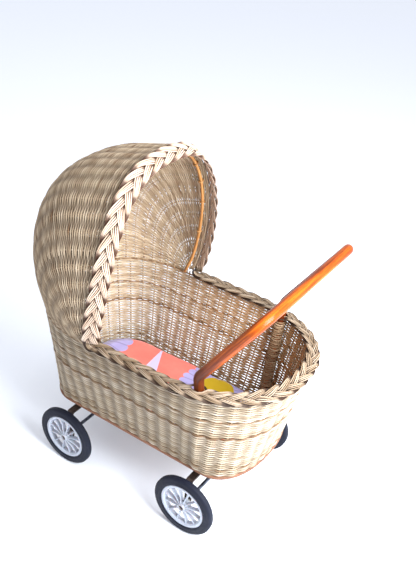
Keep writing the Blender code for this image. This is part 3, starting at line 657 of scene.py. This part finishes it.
def hood_weave(look, wale_look, stake_look):
    """Plain weave arched from side to side; near the feet, where rows crowd together, pairs of them end."""
    rng = np.random.default_rng(SEED + 1)
    angles = hood_angles(HOOD_STAKES * HOOD_STEPS + 1)
    stake = np.arange(len(angles)) / HOOD_STEPS
    table = np.linspace(CROWN_MARGIN, math.pi / 2 - CROWN_MARGIN, 900)
    crown = lengths(hood_point(table, np.full_like(table, math.pi / 2)))
    rows = int(round(crown[-1] / HOOD_PITCH))
    row_turns = np.interp((np.arange(rows) + 0.5) / rows * crown[-1], crown, table)
    gap = np.gradient(row_turns)
    panels = [Strands(6) for _ in range(4)]
    for i, places in list(enumerate(thinned_rows(rows))) + [(-1, [0.0] * 12), (-2, [0.0] * 12)]:
        here = row_turns[max(i, 0)]
        step = np.linalg.norm(hood_point(min(here + 1e-3, 1.57) + 0 * angles, angles)
                              - hood_point(here + 0 * angles, angles), axis=1) / 1e-3
        crowding = np.log2(HOOD_LEAST_PITCH / (step * gap[max(i, 0)]))
        starts = np.array([m // 2 + (m % 2) * LATE_ENDING for m in range(len(places))])
        alive = np.flatnonzero(crowding <= starts[-1] + ROW_TAIL)
        if len(alive) < 2 * HOOD_STEPS:
            continue
        span = slice(alive[0], alive[-1] + 1)
        place = np.full(len(angles), places[0])
        for m in range(1, len(places)):
            blend = np.clip((crowding - starts[m - 1]) / ENDING_SPAN, 0, 1)
            place += (places[m] - places[m - 1]) * blend * blend * (3 - 2 * blend)
        turn = np.interp(place, np.arange(rows), row_turns)[span]
        point, out, around, _ = hood_frame(turn, angles[span])
        if i < 0:
            point = point + around * (i * TUCKED_STEP)
        share = stake[span] / HOOD_STAKES
        fade = min(1.0, (min(here, math.pi / 2 - here) + 0.03) / 0.06) * (0.5 if i < 0 else 1.0)
        spacing = HOOD_LEAST_PITCH * 2.0 ** -crowding * np.interp(crowding, THINNING, SPREAD)
        tall = np.clip(HOOD_OVERLAP * spacing[span], *HOOD_CANE)
        bulge = passing(stake[span] + i % 2)
        swing = bulge * HOOD_DEPTH * fade * (1 + waver(rng, share, (3, 7, 13), SWING_UNEVEN))
        wander = waver(rng, share, (2, 5, 9, 17), HOOD_WANDER) + rng.normal(0, HOOD_SHIFT)
        centre = point + out * swing[:, None] + around * wander[:, None]
        centre[:, 2] = np.maximum(centre[:, 2], HOOD_BASE + WEAVE_FOOT)
        panel = panels[min(3, max(i, 0) * 4 // rows)]
        panel.add(centre, around, out, tall, HOOD_THICK, rng.random(), bulge=bulge)
    for zone, strands in zip(("front", "fore", "crown", "rear"), panels):
        strands.build(f"hood_weavers_{zone}", look, "hood_wicker", ("hood_shell",))
    stakes = Strands(6)
    turns = np.interp(np.linspace(0, crown[-1], 26), crown, table)
    for angle in angles[::HOOD_STEPS]:
        point, out, _, along = hood_frame(turns, np.full_like(turns, angle))
        if lengths(point)[-1] > LEAST_STAKE:
            stakes.add(point, along, out, STAKE_RADIUS, STAKE_RADIUS, rng.random())
    stakes.build("hood_stakes", stake_look, "hood_wicker")
    seam = Strands(6)
    for sign in (1, -1):
        point, out, around, _ = hood_frame(math.pi / 2 - SEAM_BACK, angles)
        swing = out * (np.cos(np.pi * stake) * WALE_DEPTH * sign)[:, None]
        centre = point + swing + around * (np.sin(np.pi * stake) * WALE_TWIST * sign)[:, None]
        centre[:, 2] = np.maximum(centre[:, 2], HOOD_BASE - 0.0005)
        seam.add(centre, around, out, *SEAM_CANE, rng.random())
    seam.build("hood_seam_wale", wale_look, "hood_wicker")


# ---------------------------------------------------------------- plaits

def smoothed(values, window):
    """A closed line's running mean over a number of points."""
    kernel = np.hanning(window + 2)[1:-1]
    kernel /= kernel.sum()
    padded = np.concatenate([values[-window:], values, values[:window]])
    return np.stack([np.convolve(column, kernel, "same")[window:-window] for column in padded.T], 1)


def plait_line(count=900):
    """Middle line, flow, upward face and half width of the plait, from the foot end's tip round the arch."""
    corner = np.linspace(0, math.pi / 2, 90)
    near = np.stack([RIM["front_x"] + RIM["front_a"] * power(np.cos(corner), FRONT_POWER[1]),
                     -RIM["half"] * power(np.sin(corner), FRONT_POWER[1])], 1)
    side = np.stack([np.linspace(RIM["front_x"], ARCH_FOOT_X, 60)[1:], np.full(59, -RIM["half"])], 1)
    rim = np.concatenate([near, side])
    share = np.maximum(0.0, (rim[:, 0] - RIM["front_x"]) / RIM["front_a"])
    rim_points = np.stack([rim[:, 0], rim[:, 1], BORDER_Z + RIM_END_RISE * share], 1)
    flow = unit(np.gradient(rim_points, axis=0))
    outward = unit(np.cross(flow, [0, 0, -1.0]))
    outward = outward * np.where(dot(outward, rim_points * [0.2, 1, 0]) < 0, -1, 1)
    tilt = (BORDER_END_TILT * share)[:, None]
    rim_face = np.array([0, 0, 1.0]) * np.cos(tilt) + outward * np.sin(tilt)
    angle = np.linspace(math.pi, math.pi / 2, 110)
    y, height = arch_yz(angle)
    arch_points = np.stack([arch_x(height / ARCH_HEIGHT), y, HOOD_BASE + height + ARCH_LIFT], 1)
    arch_points = arch_points[arch_points[:, 2] > BORDER_Z + 0.002]
    flow = unit(np.gradient(arch_points, axis=0))
    arch_out = unit(np.cross(flow, [1.0, 0, 0]))
    arch_out = arch_out * np.where(dot(arch_out, arch_points - [0, 0, HOOD_BASE + 0.05]) < 0, -1, 1)
    forward = unit(np.cross(arch_out, flow))
    forward = forward * np.sign(forward[:, :1])
    arch_face = forward * math.sin(ARCH_BAND_TILT) + arch_out * math.cos(ARCH_BAND_TILT)
    half_points = np.concatenate([rim_points, arch_points])
    half_face = np.concatenate([rim_face, arch_face])
    half_wide = np.repeat([PLAIT_HALF["rim"], PLAIT_HALF["arch"]], [len(rim_points), len(arch_points)])
    mirror = np.array([1.0, -1.0, 1.0])
    points = np.concatenate([half_points, (half_points * mirror)[-2:0:-1]])
    faces = np.concatenate([half_face, (half_face * mirror)[-2:0:-1]])
    wide = np.concatenate([half_wide, half_wide[-2:0:-1]])
    along = lengths(np.concatenate([points, points[:1]]))
    want = np.arange(count) / count * along[-1]
    pick = [np.interp(want, along, np.append(column, column[0])) for column in
            (*points.T, *faces.T, wide)]
    step = along[-1] / count
    line = smoothed(np.stack(pick[:3], 1), int(LINE_SMOOTHING / step))
    faces = smoothed(np.stack(pick[3:6], 1), int(FACE_SMOOTHING / step))
    wide = smoothed(np.array(pick[6])[:, None], int(FACE_SMOOTHING / step))[:, 0]
    flow = unit(np.roll(line, -1, 0) - np.roll(line, 1, 0))
    faces = unit(faces - flow * dot(faces, flow))
    return line, flow, faces, wide


def leg_y(z):
    """How far a leg's axis stands from the middle plane at a height."""
    share = (LEG_X - RIM["front_x"]) / RIM["front_a"]
    rim_y = RIM["half"] * (1 - share ** FRONT_POWER[1]) ** (1 / FRONT_POWER[1])
    height = (z - WALL_BOTTOM) / (WALL_TOP - WALL_BOTTOM)
    return mix(FOOT["half"] - LEG_INSET[0], rim_y - LEG_INSET[1], height)


def pushed_off_legs(centre, radius):
    """Canes spread round a handle leg instead of passing through it."""
    clear = LEG_RADIUS + radius + LEG_CLEARANCE
    for side in SIDES.values():
        axis = np.stack([np.full(len(centre), LEG_X), side * leg_y(centre[:, 2])], 1)
        away = centre[:, :2] - axis
        far = np.linalg.norm(away, axis=1)
        push = np.maximum(0.0, np.maximum((clear * LEG_REACH - far) * LEG_EASE, clear - far))
        centre[:, :2] += away * (push / np.maximum(far, 1e-5))[:, None]
    return centre


def plaits(rim_look, arch_look):
    """One continuous plait of flat bundles of canes, cut into the rim's part and the arch's part."""
    rng = np.random.default_rng(SEED + 2)
    line, flow, face, wide = plait_line()
    side = np.cross(face, flow)
    count = len(line)
    along = lengths(np.concatenate([line, line[:1]]))
    periods = int(round(along[-1] / PLAIT_PITCH))
    phase = 2 * np.pi * periods * along[:-1] / along[-1]
    on_arch = line[:, 2] > BORDER_Z + ARCH_START
    first, last = np.flatnonzero(on_arch)[[0, -1]]
    spans = {"arch": np.arange(first, last + 1), "rim": np.arange(last, first + count + 1) % count}
    strands = {"arch": Strands(6), "rim": Strands(6)}
    share = np.arange(count) / count
    for bundle in range(PLAIT_BUNDLES):
        t = phase + 2 * np.pi * bundle / PLAIT_BUNDLES
        above = PLAIT_WAY * np.tanh(PLAIT_SHARPNESS * np.sin(2 * t))
        gather = 1 - PLAIT_GATHER * np.abs(np.sin(t)) ** 4
        swing = (wide - PLAIT_CANES * PLAIT_STEP / 2 * (1 - PLAIT_GATHER)) / (1 + PLAIT_CORNER)
        lateral = swing * (np.sin(t) - PLAIT_CORNER * np.sin(3 * t))
        slope = swing * (np.cos(t) - 3 * PLAIT_CORNER * np.cos(3 * t)) * 2 * np.pi * periods / along[-1]
        turn = 1 / np.sqrt(1 + slope ** 2)
        for cane in range(PLAIT_CANES):
            rank = cane - (PLAIT_CANES - 1) / 2
            offset = rank * PLAIT_STEP * gather + waver(rng, share, (11, 23, 37), PLAIT_WANDER)
            lift = PLAIT_DEPTH * above - PLAIT_CAMBER * (rank / 1.5) ** 2
            lift = lift + waver(rng, share, (13, 29, 41), PLAIT_LIFT)
            centre = (line + side * (lateral + offset * turn)[:, None]
                      - flow * (slope * offset * turn)[:, None] + face * lift[:, None])
            centre = pushed_off_legs(centre, PLAIT_CANE["rim"])
            go = unit(flow + side * slope[:, None])
            across = unit(np.cross(face, go))
            size = 1 + waver(rng, share, (5, 9, 15), PLAIT_UNEVEN)
            tone = rng.random()
            for key, span in spans.items():
                half = PLAIT_CANE[key] * size[span]
                strands[key].add(centre[span], across[span], face[span], half, PLAIT_FLATNESS * half, tone,
                                 bulge=above[span])
    strands["arch"].build("arch_plait", arch_look, "arch_plait", ("hood_border",))
    strands["rim"].build("rim_plait", rim_look, "rim_plait", ("tub_border",))


# ---------------------------------------------------------------- hoop, sleeves and handle

def hoop(look):
    """The bent cane inside the arch, and the loops that tie it there."""
    angle = np.linspace(0, math.pi, 121)
    y, height = arch_yz(angle)
    points = np.stack([arch_x(height / ARCH_HEIGHT) - HOOP_BACK, y, HOOD_BASE + height + 0.002], 1)
    flow = unit(np.gradient(points, axis=0))
    out = -unit(np.cross([1.0, 0, 0], flow))
    points = points - out * HOOP_IN
    ahead = unit(np.gradient(points, axis=0))
    across = unit(np.cross(ahead, [1.0, 0, 0]) + 1e-9)
    bar = Strands(12)
    bar.add(points, across, np.cross(across, ahead), HOOP_RADIUS, HOOP_RADIUS, 0.5)
    bar.build("hood_hoop_cane", look, "cane_hoop", ("hood_hoop",))
    loops = Strands(6)
    rng = np.random.default_rng(SEED + 3)
    for place in np.arange(*LOOP_PLACES):
        at = int(place * 120)
        turn = np.linspace(0, 2 * math.pi * LOOP_TURNS, 26)
        radius = HOOP_RADIUS + LOOP_CANE[0]
        spin = out[at] * np.cos(turn)[:, None] + np.cross(flow[at], out[at]) * np.sin(turn)[:, None]
        centre = points[at] + spin * radius + flow[at] * (turn / (2 * math.pi) * LOOP_ADVANCE)[:, None]
        loops.add(centre, np.broadcast_to(flow[at], centre.shape), spin, *LOOP_CANE, rng.random())
    loops.build("hood_hoop_loops", look, "cane_hoop")


def sleeves(look):
    """Rows of cane wrapped over each handle leg on the inside of the wall."""
    rng = np.random.default_rng(SEED + 4)
    for side_name, side in SIDES.items():
        wraps = Strands(6)
        for z in np.arange(WALL_BOTTOM + WRAP_FOOT, WALL_TOP - 0.001, WRAP_PITCH):
            turn = np.linspace(-SLEEVE_ANGLE, SLEEVE_ANGLE, 19)
            spin = np.stack([np.sin(turn), -side * np.cos(turn), 0 * turn], 1)
            centre = np.array([LEG_X, side * leg_y(z), z]) + spin * (LEG_RADIUS + WRAP_OUT)
            centre[:, 2] += WRAP_WAVE * np.sin(turn * 2 + rng.random() * 6) + rng.normal(0, WRAP_SHIFT)
            up = np.broadcast_to([0.0, 0, 1.0], centre.shape)
            wraps.add(centre, up, spin, *WRAP_HALF, rng.random())
        wraps.build(f"leg_wraps_{side_name}", look, "sleeve_wicker", (f"leg_sleeve_{side_name}",))


def rounded_path(corners, radii, steps):
    """A polyline with its inner corners turned into arcs."""
    points = [corners[0]]
    for before, corner, after, radius in zip(corners, corners[1:], corners[2:], radii):
        to_start, to_end = (before - corner).normalized(), (after - corner).normalized()
        bend = to_start.angle(to_end)
        reach = radius / math.tan(bend / 2)
        centre = corner + (to_start + to_end).normalized() * radius / math.sin(bend / 2)
        start = corner + to_start * reach - centre
        axis = start.cross(corner + to_end * reach - centre).normalized()
        points += [centre + Matrix.Rotation((math.pi - bend) * i / steps, 3, axis) @ start
                   for i in range(steps + 1)]
    points.append(corners[-1])
    return points


def handle(look):
    """Bent wood bar, slightly uneven, from one leg's foot over the crossbar to the other."""
    foot_z = BOARD_TOP + HANDLE_FOOT
    near = [Vector((LEG_X, -leg_y(foot_z), foot_z)), Vector((LEG_X, -leg_y(BEND_Z), BEND_Z)),
            Vector((CROSSBAR_X, -CROSSBAR_HALF, CROSSBAR_Z))]
    corners = near + [Vector((p.x, -p.y, p.z)) for p in reversed(near)]
    path = rounded_path(corners, (BEND_RADIUS, CORNER_RADIUS, CORNER_RADIUS, BEND_RADIUS), 18)
    points = resample(np.array([tuple(p) for p in path]), HANDLE_POINTS)
    rng = np.random.default_rng(SEED + 5)
    share = np.linspace(0, 1, len(points))
    rise = np.clip((points[:, 2] - BORDER_Z - HANDLE_EASE) / (BEND_Z - BORDER_Z - HANDLE_EASE), 0, 1)
    radius = mix(LEG_RADIUS, ARM_RADIUS, rise)
    radius = radius * (1 + waver(rng, share, (3, 7, 12), HANDLE_UNEVEN) * rise)
    slope = Vector((CROSSBAR_X - LEG_X, 0, CROSSBAR_Z - BEND_Z)).normalized()
    facing = (-slope.z, 0, slope.x)
    flow = unit(np.gradient(points, axis=0))
    normal = unit(np.cross(flow, np.cross(np.array(facing, float), flow) + 1e-9))
    bar = Strands(24)
    bar.add(points, unit(np.cross(normal, flow)), normal, radius, radius, 0.5)
    bar.build("handle_bar", look, "lacquered_wood", ("handle",))


# ---------------------------------------------------------------- wheels

def lofted(rings, looped=False):
    """Verts and faces through closed rings of points, capped at both ends or looped back to the first."""
    count, size = len(rings), len(rings[0])
    verts = [point for ring in rings for point in ring]
    faces = []
    for i in range(count if looped else count - 1):
        here, there = i * size, (i + 1) % count * size
        faces += [(here + k, here + (k + 1) % size, there + (k + 1) % size, there + k) for k in range(size)]
    if not looped:
        faces += [tuple(range(size)), tuple(range(len(verts) - size, len(verts)))]
    return verts, faces


def revolved(profile, sides):
    """A closed profile of (radius, outward place) turned about Y; outward is towards -Y."""
    turns = [2 * math.pi * i / sides for i in range(sides)]
    return lofted([[(r * math.cos(a), -w, r * math.sin(a)) for r, w in profile] for a in turns], True)


def joined(name, parts, sharp=math.radians(35)):
    """Closed shapes in one mesh, with outward normals and creases left sharp."""
    bm = bmesh.new()
    for verts, faces in parts:
        made = [bm.verts.new(v) for v in verts]
        for face in faces:
            bm.faces.new([made[i] for i in face])
    bmesh.ops.recalc_face_normals(bm, faces=bm.faces)
    mesh = bpy.data.meshes.new(name)
    bm.to_mesh(mesh)
    bm.free()
    mesh.shade_smooth()
    mesh.set_sharp_from_angle(angle=sharp)
    return mesh


def fin(angle):
    """One spoke: a blade that is thin at its front edge, wider behind, and swept out at root and tip."""
    turn = Matrix.Rotation(angle, 3, "Y")
    rings = []
    for reach, front, back, half in ((0.0062, 0.0072, -0.0030, 0.00135), (0.0120, 0.0062, -0.0032, 0.00095),
                                     (0.0240, 0.0048, -0.0034, 0.00085), (0.0340, 0.0040, -0.0036, 0.00105),
                                     (0.0398, 0.0040, -0.0038, 0.00190)):
        rings.append([tuple(turn @ Vector((reach, -w, side * h))) for w, side, h in
                      ((back, -1, half * 1.5), (front - 0.0006, -1, half * 0.8), (front, 0, half),
                       (front - 0.0006, 1, half * 0.8), (back, 1, half * 1.5))])
    return lofted(rings)


def rounded_profile(corners, radius, steps=4):
    """A closed profile whose corners are turned into small arcs."""
    points = []
    for before, corner, after in zip(corners[-1:] + corners[:-1], corners, corners[1:] + corners[:1]):
        here = Vector(corner)
        start = here + (Vector(before) - here).normalized() * radius
        end = here + (Vector(after) - here).normalized() * radius
        for i in range(steps + 1):
            t = i / steps
            points.append(tuple(start * (1 - t) ** 2 + here * 2 * t * (1 - t) + end * t * t))
    return points


def wheels(plastic, rubber):
    """Four spoked mouldings and four tyres; profiles are (radius, outward place)."""
    rim = [(0.0457, -0.0056), (0.0457, 0.0060), (0.0415, 0.0064), (0.0392, 0.0040), (0.0384, -0.0034),
           (0.0400, -0.0056)]
    hub = [(0.0075, -0.0103), (0.0086, 0.0000), (0.0072, 0.0095), (0.0056, 0.0095), (0.0056, 0.0041),
           (0.0037, 0.0041), (0.0037, -0.0103)]
    collar = [(0.0068, 0.0010), (0.0118, 0.0010), (0.0110, 0.0036), (0.0068, 0.0052)]
    parts = [revolved(rounded_profile(rim, 0.0007), 96), revolved(rounded_profile(hub, 0.0004, 2), 40),
             revolved(rounded_profile(collar, 0.0004, 2), 40)]
    parts += [fin(2 * math.pi * (i + 0.5) / 12) for i in range(12)]
    wheel_mesh = joined("wheel_moulding", parts)
    half = [(0.0461, 0.0058), (0.0478, 0.0071), (0.0520, 0.0072), (0.0524, 0.0069), (0.0565, 0.0070),
            (0.0590, 0.0064), (0.0608, 0.0054), (0.0612, 0.0047), (0.0620, 0.0043), (0.0625, 0.0030),
            (0.0625, 0.0008), (0.0622, 0.0)]
    profile = half + [(r, -w) for r, w in half[-2::-1]]
    tyre_mesh = joined("tyre_ring", [revolved(profile, 128)], math.radians(50))
    for end, x in AXLE_X.items():
        for side_name, side in SIDES.items():
            key = f"{end}_{side_name}"
            for label, stands_for, mesh, look, slot in (
                    ("moulding", "wheel", wheel_mesh, plastic, "white_plastic"),
                    ("tread", "tyre", tyre_mesh, rubber, "black_rubber")):
                placed(f"{label}_{key}", mesh.copy(), look, f"{key}_wheel", (f"{stands_for}_{key}",),
                       (x, side * WHEEL_Y, WHEEL_RADIUS), math.pi if side > 0 else 0)


# ---------------------------------------------------------------- board, mattress and metal

def outline(shape, front, rear, out, arc):
    """A plan of two rounded ends on straight sides, grown outward by a distance."""
    angle = np.linspace(-math.pi / 2, math.pi / 2, arc * 2 + 1)
    half = shape["half"] + out
    ahead = np.stack([shape["front_x"] + (shape["front_a"] + out) * power(np.cos(angle), front),
                      half * power(np.sin(angle), front)], 1)
    behind = np.stack([shape["rear_x"] - (shape["rear_a"] + out) * power(np.cos(angle), rear),
                       -half * power(np.sin(angle), rear)], 1)
    return np.concatenate([ahead, behind])


def stacked(levels):
    """A solid through plans at heights."""
    return lofted([[(x, y, z) for x, y in line] for line, z in levels])


def board(look):
    """The plywood base with its edge rounded over."""
    levels = []
    soft = 0.0022
    middle, half = (BOARD_TOP + BOARD_BOTTOM) / 2, (BOARD_TOP - BOARD_BOTTOM) / 2
    for turn in np.linspace(-math.pi / 2, math.pi / 2, 9):
        line = outline(FOOT, FRONT_POWER[0], REAR_POWER[0], BOARD_LIP - soft * (1 - math.cos(turn)), 48)
        levels.append((line, middle + half * math.sin(turn)))
    placed("plywood_base", joined("plywood_base", [stacked(levels)]), look, BODY, ("base_board",))


def mattress(look):
    """A stuffed pad: swollen by a short cloth simulation, flat where it lies on the board."""
    levels = []
    middle = (MATTRESS_TOP + MATTRESS_BOTTOM) / 2 - PAD_LOWERED
    half = (MATTRESS_TOP - MATTRESS_BOTTOM) / 2 - PAD_THINNED
    for turn in np.radians([-90, -60, -30, 0, 30, 60, 90]):
        out = -PAD_INSET - PAD_ROUNDING * (1 - math.cos(turn) ** 0.6)
        line = outline(MATTRESS, MATTRESS_POWER, MATTRESS_POWER, out, 12)
        levels.append((line, middle + half * math.sin(turn)))
    mesh = joined("stuffed_mattress", [stacked(levels)], math.pi)
    pad = placed("stuffed_mattress", mesh, look, BODY, ("mattress",))
    remesh = pad.modifiers.new("remesh", "REMESH")
    remesh.mode = "VOXEL"
    remesh.voxel_size = PAD_VOXEL
    applied(pad)
    rest = coordinates(pad.data)
    cloth = pad.modifiers.new("cloth", "CLOTH")
    cloth.settings.use_pressure = True
    cloth.settings.uniform_pressure_force = PAD_PRESSURE
    cloth.settings.effector_weights.gravity = 0.0
    for number in range(1, PAD_FRAMES + 1):
        bpy.context.scene.frame_set(number)
    applied(pad)
    bpy.context.scene.frame_set(1)
    moved = coordinates(pad.data) - rest
    sideways = np.linalg.norm(moved[:, :2], axis=1, keepdims=True)
    moved[:, :2] *= np.minimum(1.0, PAD_SPREAD / np.maximum(sideways, 1e-9))
    size = np.linalg.norm(moved, axis=1, keepdims=True)
    points = rest + moved * np.minimum(1.0, PAD_RISE / np.maximum(size, 1e-9))
    x, y = points[:, 0], points[:, 1]
    pucker = np.exp(-((x - PUCKER_X) / PUCKER_WIDTH) ** 2) * PUCKER_RISE * np.sin(y * PUCKER_WAVES)
    crown = CROWN_RISE * np.exp(-((x - CROWN_X) / CROWN_REACH[0]) ** 2 - (y / CROWN_REACH[1]) ** 2)
    top = np.clip((points[:, 2] - middle) / half, 0, 1)
    points[:, 2] += (pucker + crown) * top
    points[:, 2] = np.clip(points[:, 2], MATTRESS_BOTTOM - 0.0004, MATTRESS_TOP + PAD_TALLEST)
    pad.data.vertices.foreach_set("co", points.astype(np.float32).ravel())
    pad.data.update()
    finer = pad.modifiers.new("finer", "SUBSURF")
    finer.levels = finer.render_levels = 1
    pad.data.shade_smooth()


def coordinates(mesh):
    """The mesh's points as an array."""
    values = np.empty(len(mesh.vertices) * 3, np.float32)
    mesh.vertices.foreach_get("co", values)
    return values.reshape(-1, 3).astype(float)


def applied(obj):
    """The object's mesh becomes what its modifiers make."""
    graph = bpy.context.evaluated_depsgraph_get()
    graph.update()
    mesh = bpy.data.meshes.new_from_object(obj.evaluated_get(graph), depsgraph=graph)
    obj.modifiers.clear()
    obj.data = mesh


def finish_nodes(looks):
    """Materials and soft edges for the CAD nodes that stay."""
    for name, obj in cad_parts.items():
        for start, look in looks.items():
            if name.startswith(start):
                obj.data.materials.clear()
                obj.data.materials.append(look)
                if start in ("strap", "batten"):
                    soft = obj.modifiers.new("soft", "BEVEL")
                    soft.width = 0.0004
                    soft.segments = 2
                    soft.limit_method = "ANGLE"
                break


# ---------------------------------------------------------------- studio

def studio():
    """A pale paper floor, a plain bright surround and the lights."""
    bpy.ops.mesh.primitive_plane_add(size=30.0, location=(0, 0, 0))
    floor = bpy.context.active_object
    floor.name = "studio_floor"
    paper = Look("studio_paper", roughness=0.9, specular_ior_level=0.1)
    grain = paper.noise(paper.place(), 60.0, 2.0)
    paper.link(paper.ramp(grain, (0.0, (0.85, 0.885, 0.94)), (1.0, (0.87, 0.90, 0.95))), "Base Color")
    floor.data.materials.append(paper.material)
    world = bpy.data.worlds.new("studio_world")
    bpy.context.scene.world = world
    world.use_nodes = True
    back = world.node_tree.nodes["Background"]
    back.inputs["Color"].default_value = (0.925, 0.942, 1.0, 1)
    back.inputs["Strength"].default_value = 1.0
    for name, settings in LIGHTS.items():
        lamp(name, *settings)


def lamp(name, place, target, size, energy, colour):
    data = bpy.data.lights.new(name, "AREA")
    data.size = size
    data.energy = energy
    data.color = colour
    obj = bpy.data.objects.new(name, data)
    obj.location = place
    obj.rotation_euler = (Vector(target) - Vector(place)).to_track_quat("-Z", "Y").to_euler()
    bpy.context.scene.collection.objects.link(obj)


def camera():
    """The photo's view: over the near side, a little to the handle end, and tilted."""
    azimuth, elevation, roll = (math.radians(turn) for turn in CAMERA_TURNS)
    ahead = Vector((-math.sin(azimuth) * math.cos(elevation), math.cos(azimuth) * math.cos(elevation),
                    -math.sin(elevation)))
    level = ahead.cross(Vector((0, 0, 1))).normalized()
    above = level.cross(ahead)
    right = level * math.cos(roll) + above * math.sin(roll)
    up = above * math.cos(roll) - level * math.sin(roll)
    data = bpy.data.cameras.new("camera")
    data.lens = CAMERA_LENS
    obj = bpy.data.objects.new("camera", data)
    axes = Matrix((right, up, -ahead)).transposed()
    obj.matrix_world = Matrix.Translation(CAMERA_PLACE) @ axes.to_4x4()
    bpy.context.scene.collection.objects.link(obj)
    bpy.context.scene.camera = obj


def main():
    camera()
    studio()
    tub = cane_look("tub_cane", (0.27, 0.178, 0.092), (0.51, 0.415, 0.290), (0.73, 0.645, 0.52),
                    (0.32, 0.20, 0.095), inner_amber=0.92, shadow=(0.10, 0.060, 0.034), edge=0.58)
    wale = cane_look("wale_cane", (0.13, 0.065, 0.028), (0.24, 0.140, 0.070), (0.40, 0.28, 0.17),
                     (0.15, 0.07, 0.030), inner_amber=0.9)
    # Stakes darker than the weavers, as painted shade in the valleys between the weave's columns
    stake = cane_look("stake_cane", (0.26, 0.16, 0.090), (0.42, 0.31, 0.20), (0.58, 0.48, 0.36),
                      (0.28, 0.16, 0.08), inner_amber=0.92)
    hood = cane_look("hood_cane", (0.22, 0.135, 0.070), (0.46, 0.345, 0.222), (0.74, 0.60, 0.43),
                     (0.24, 0.135, 0.065), shadow=(0.07, 0.038, 0.020))
    arch = cane_look("arch_cane", (0.40, 0.25, 0.155), (0.60, 0.445, 0.330), (0.74, 0.60, 0.475),
                     (0.42, 0.25, 0.15), 0.66, 0.50, shadow=(0.10, 0.045, 0.020), edge=0.85)
    rim = cane_look("rim_cane", (0.14, 0.082, 0.040), (0.27, 0.190, 0.118), (0.50, 0.40, 0.30),
                    (0.15, 0.070, 0.035), 0.60, 0.50, shadow=(0.08, 0.040, 0.020), edge=0.92)
    brown = cane_look("brown_cane", (0.24, 0.09, 0.025), (0.44, 0.20, 0.06), (0.60, 0.32, 0.12),
                      (0.25, 0.10, 0.03), 0.62, 0.42)
    tub_weave(tub, wale, stake)
    hood_weave(hood, wale, stake)
    plaits(rim, arch)
    hoop(brown)
    sleeves(wale)
    handle(lacquer_look())
    wheels(plastic_look(), rubber_look())
    board(wood_look("stained_plywood", (0.11, 0.048, 0.026), (0.26, 0.125, 0.075)))
    mattress(cotton_look())
    painted = metal_look("worn_paint", (0.020, 0.014, 0.012), (0.075, 0.050, 0.040), 90.0, 0.42, 0.3)
    dark_steel = metal_look("dark_steel", (0.045, 0.052, 0.070), (0.14, 0.16, 0.21), 120.0, 0.28, 0.9)
    rust = metal_look("cap_rust", (0.10, 0.055, 0.025), (0.34, 0.22, 0.12), 260.0, 0.45, 0.7)
    zinc = metal_look("zinc_screws", (0.34, 0.33, 0.31), (0.60, 0.59, 0.57), 300.0, 0.30, 1.0)
    finish_nodes({
        "strap_screw": dark_steel, "strap": painted, "axle_cap": rust, "axle": dark_steel,
        "washer": zinc, "board_screw": zinc, "leg_screw": zinc,
        "batten": wood_look("batten_wood", (0.13, 0.06, 0.03), (0.32, 0.19, 0.10)),
    })
    bpy.context.scene.view_settings.view_transform = "Standard"


main()
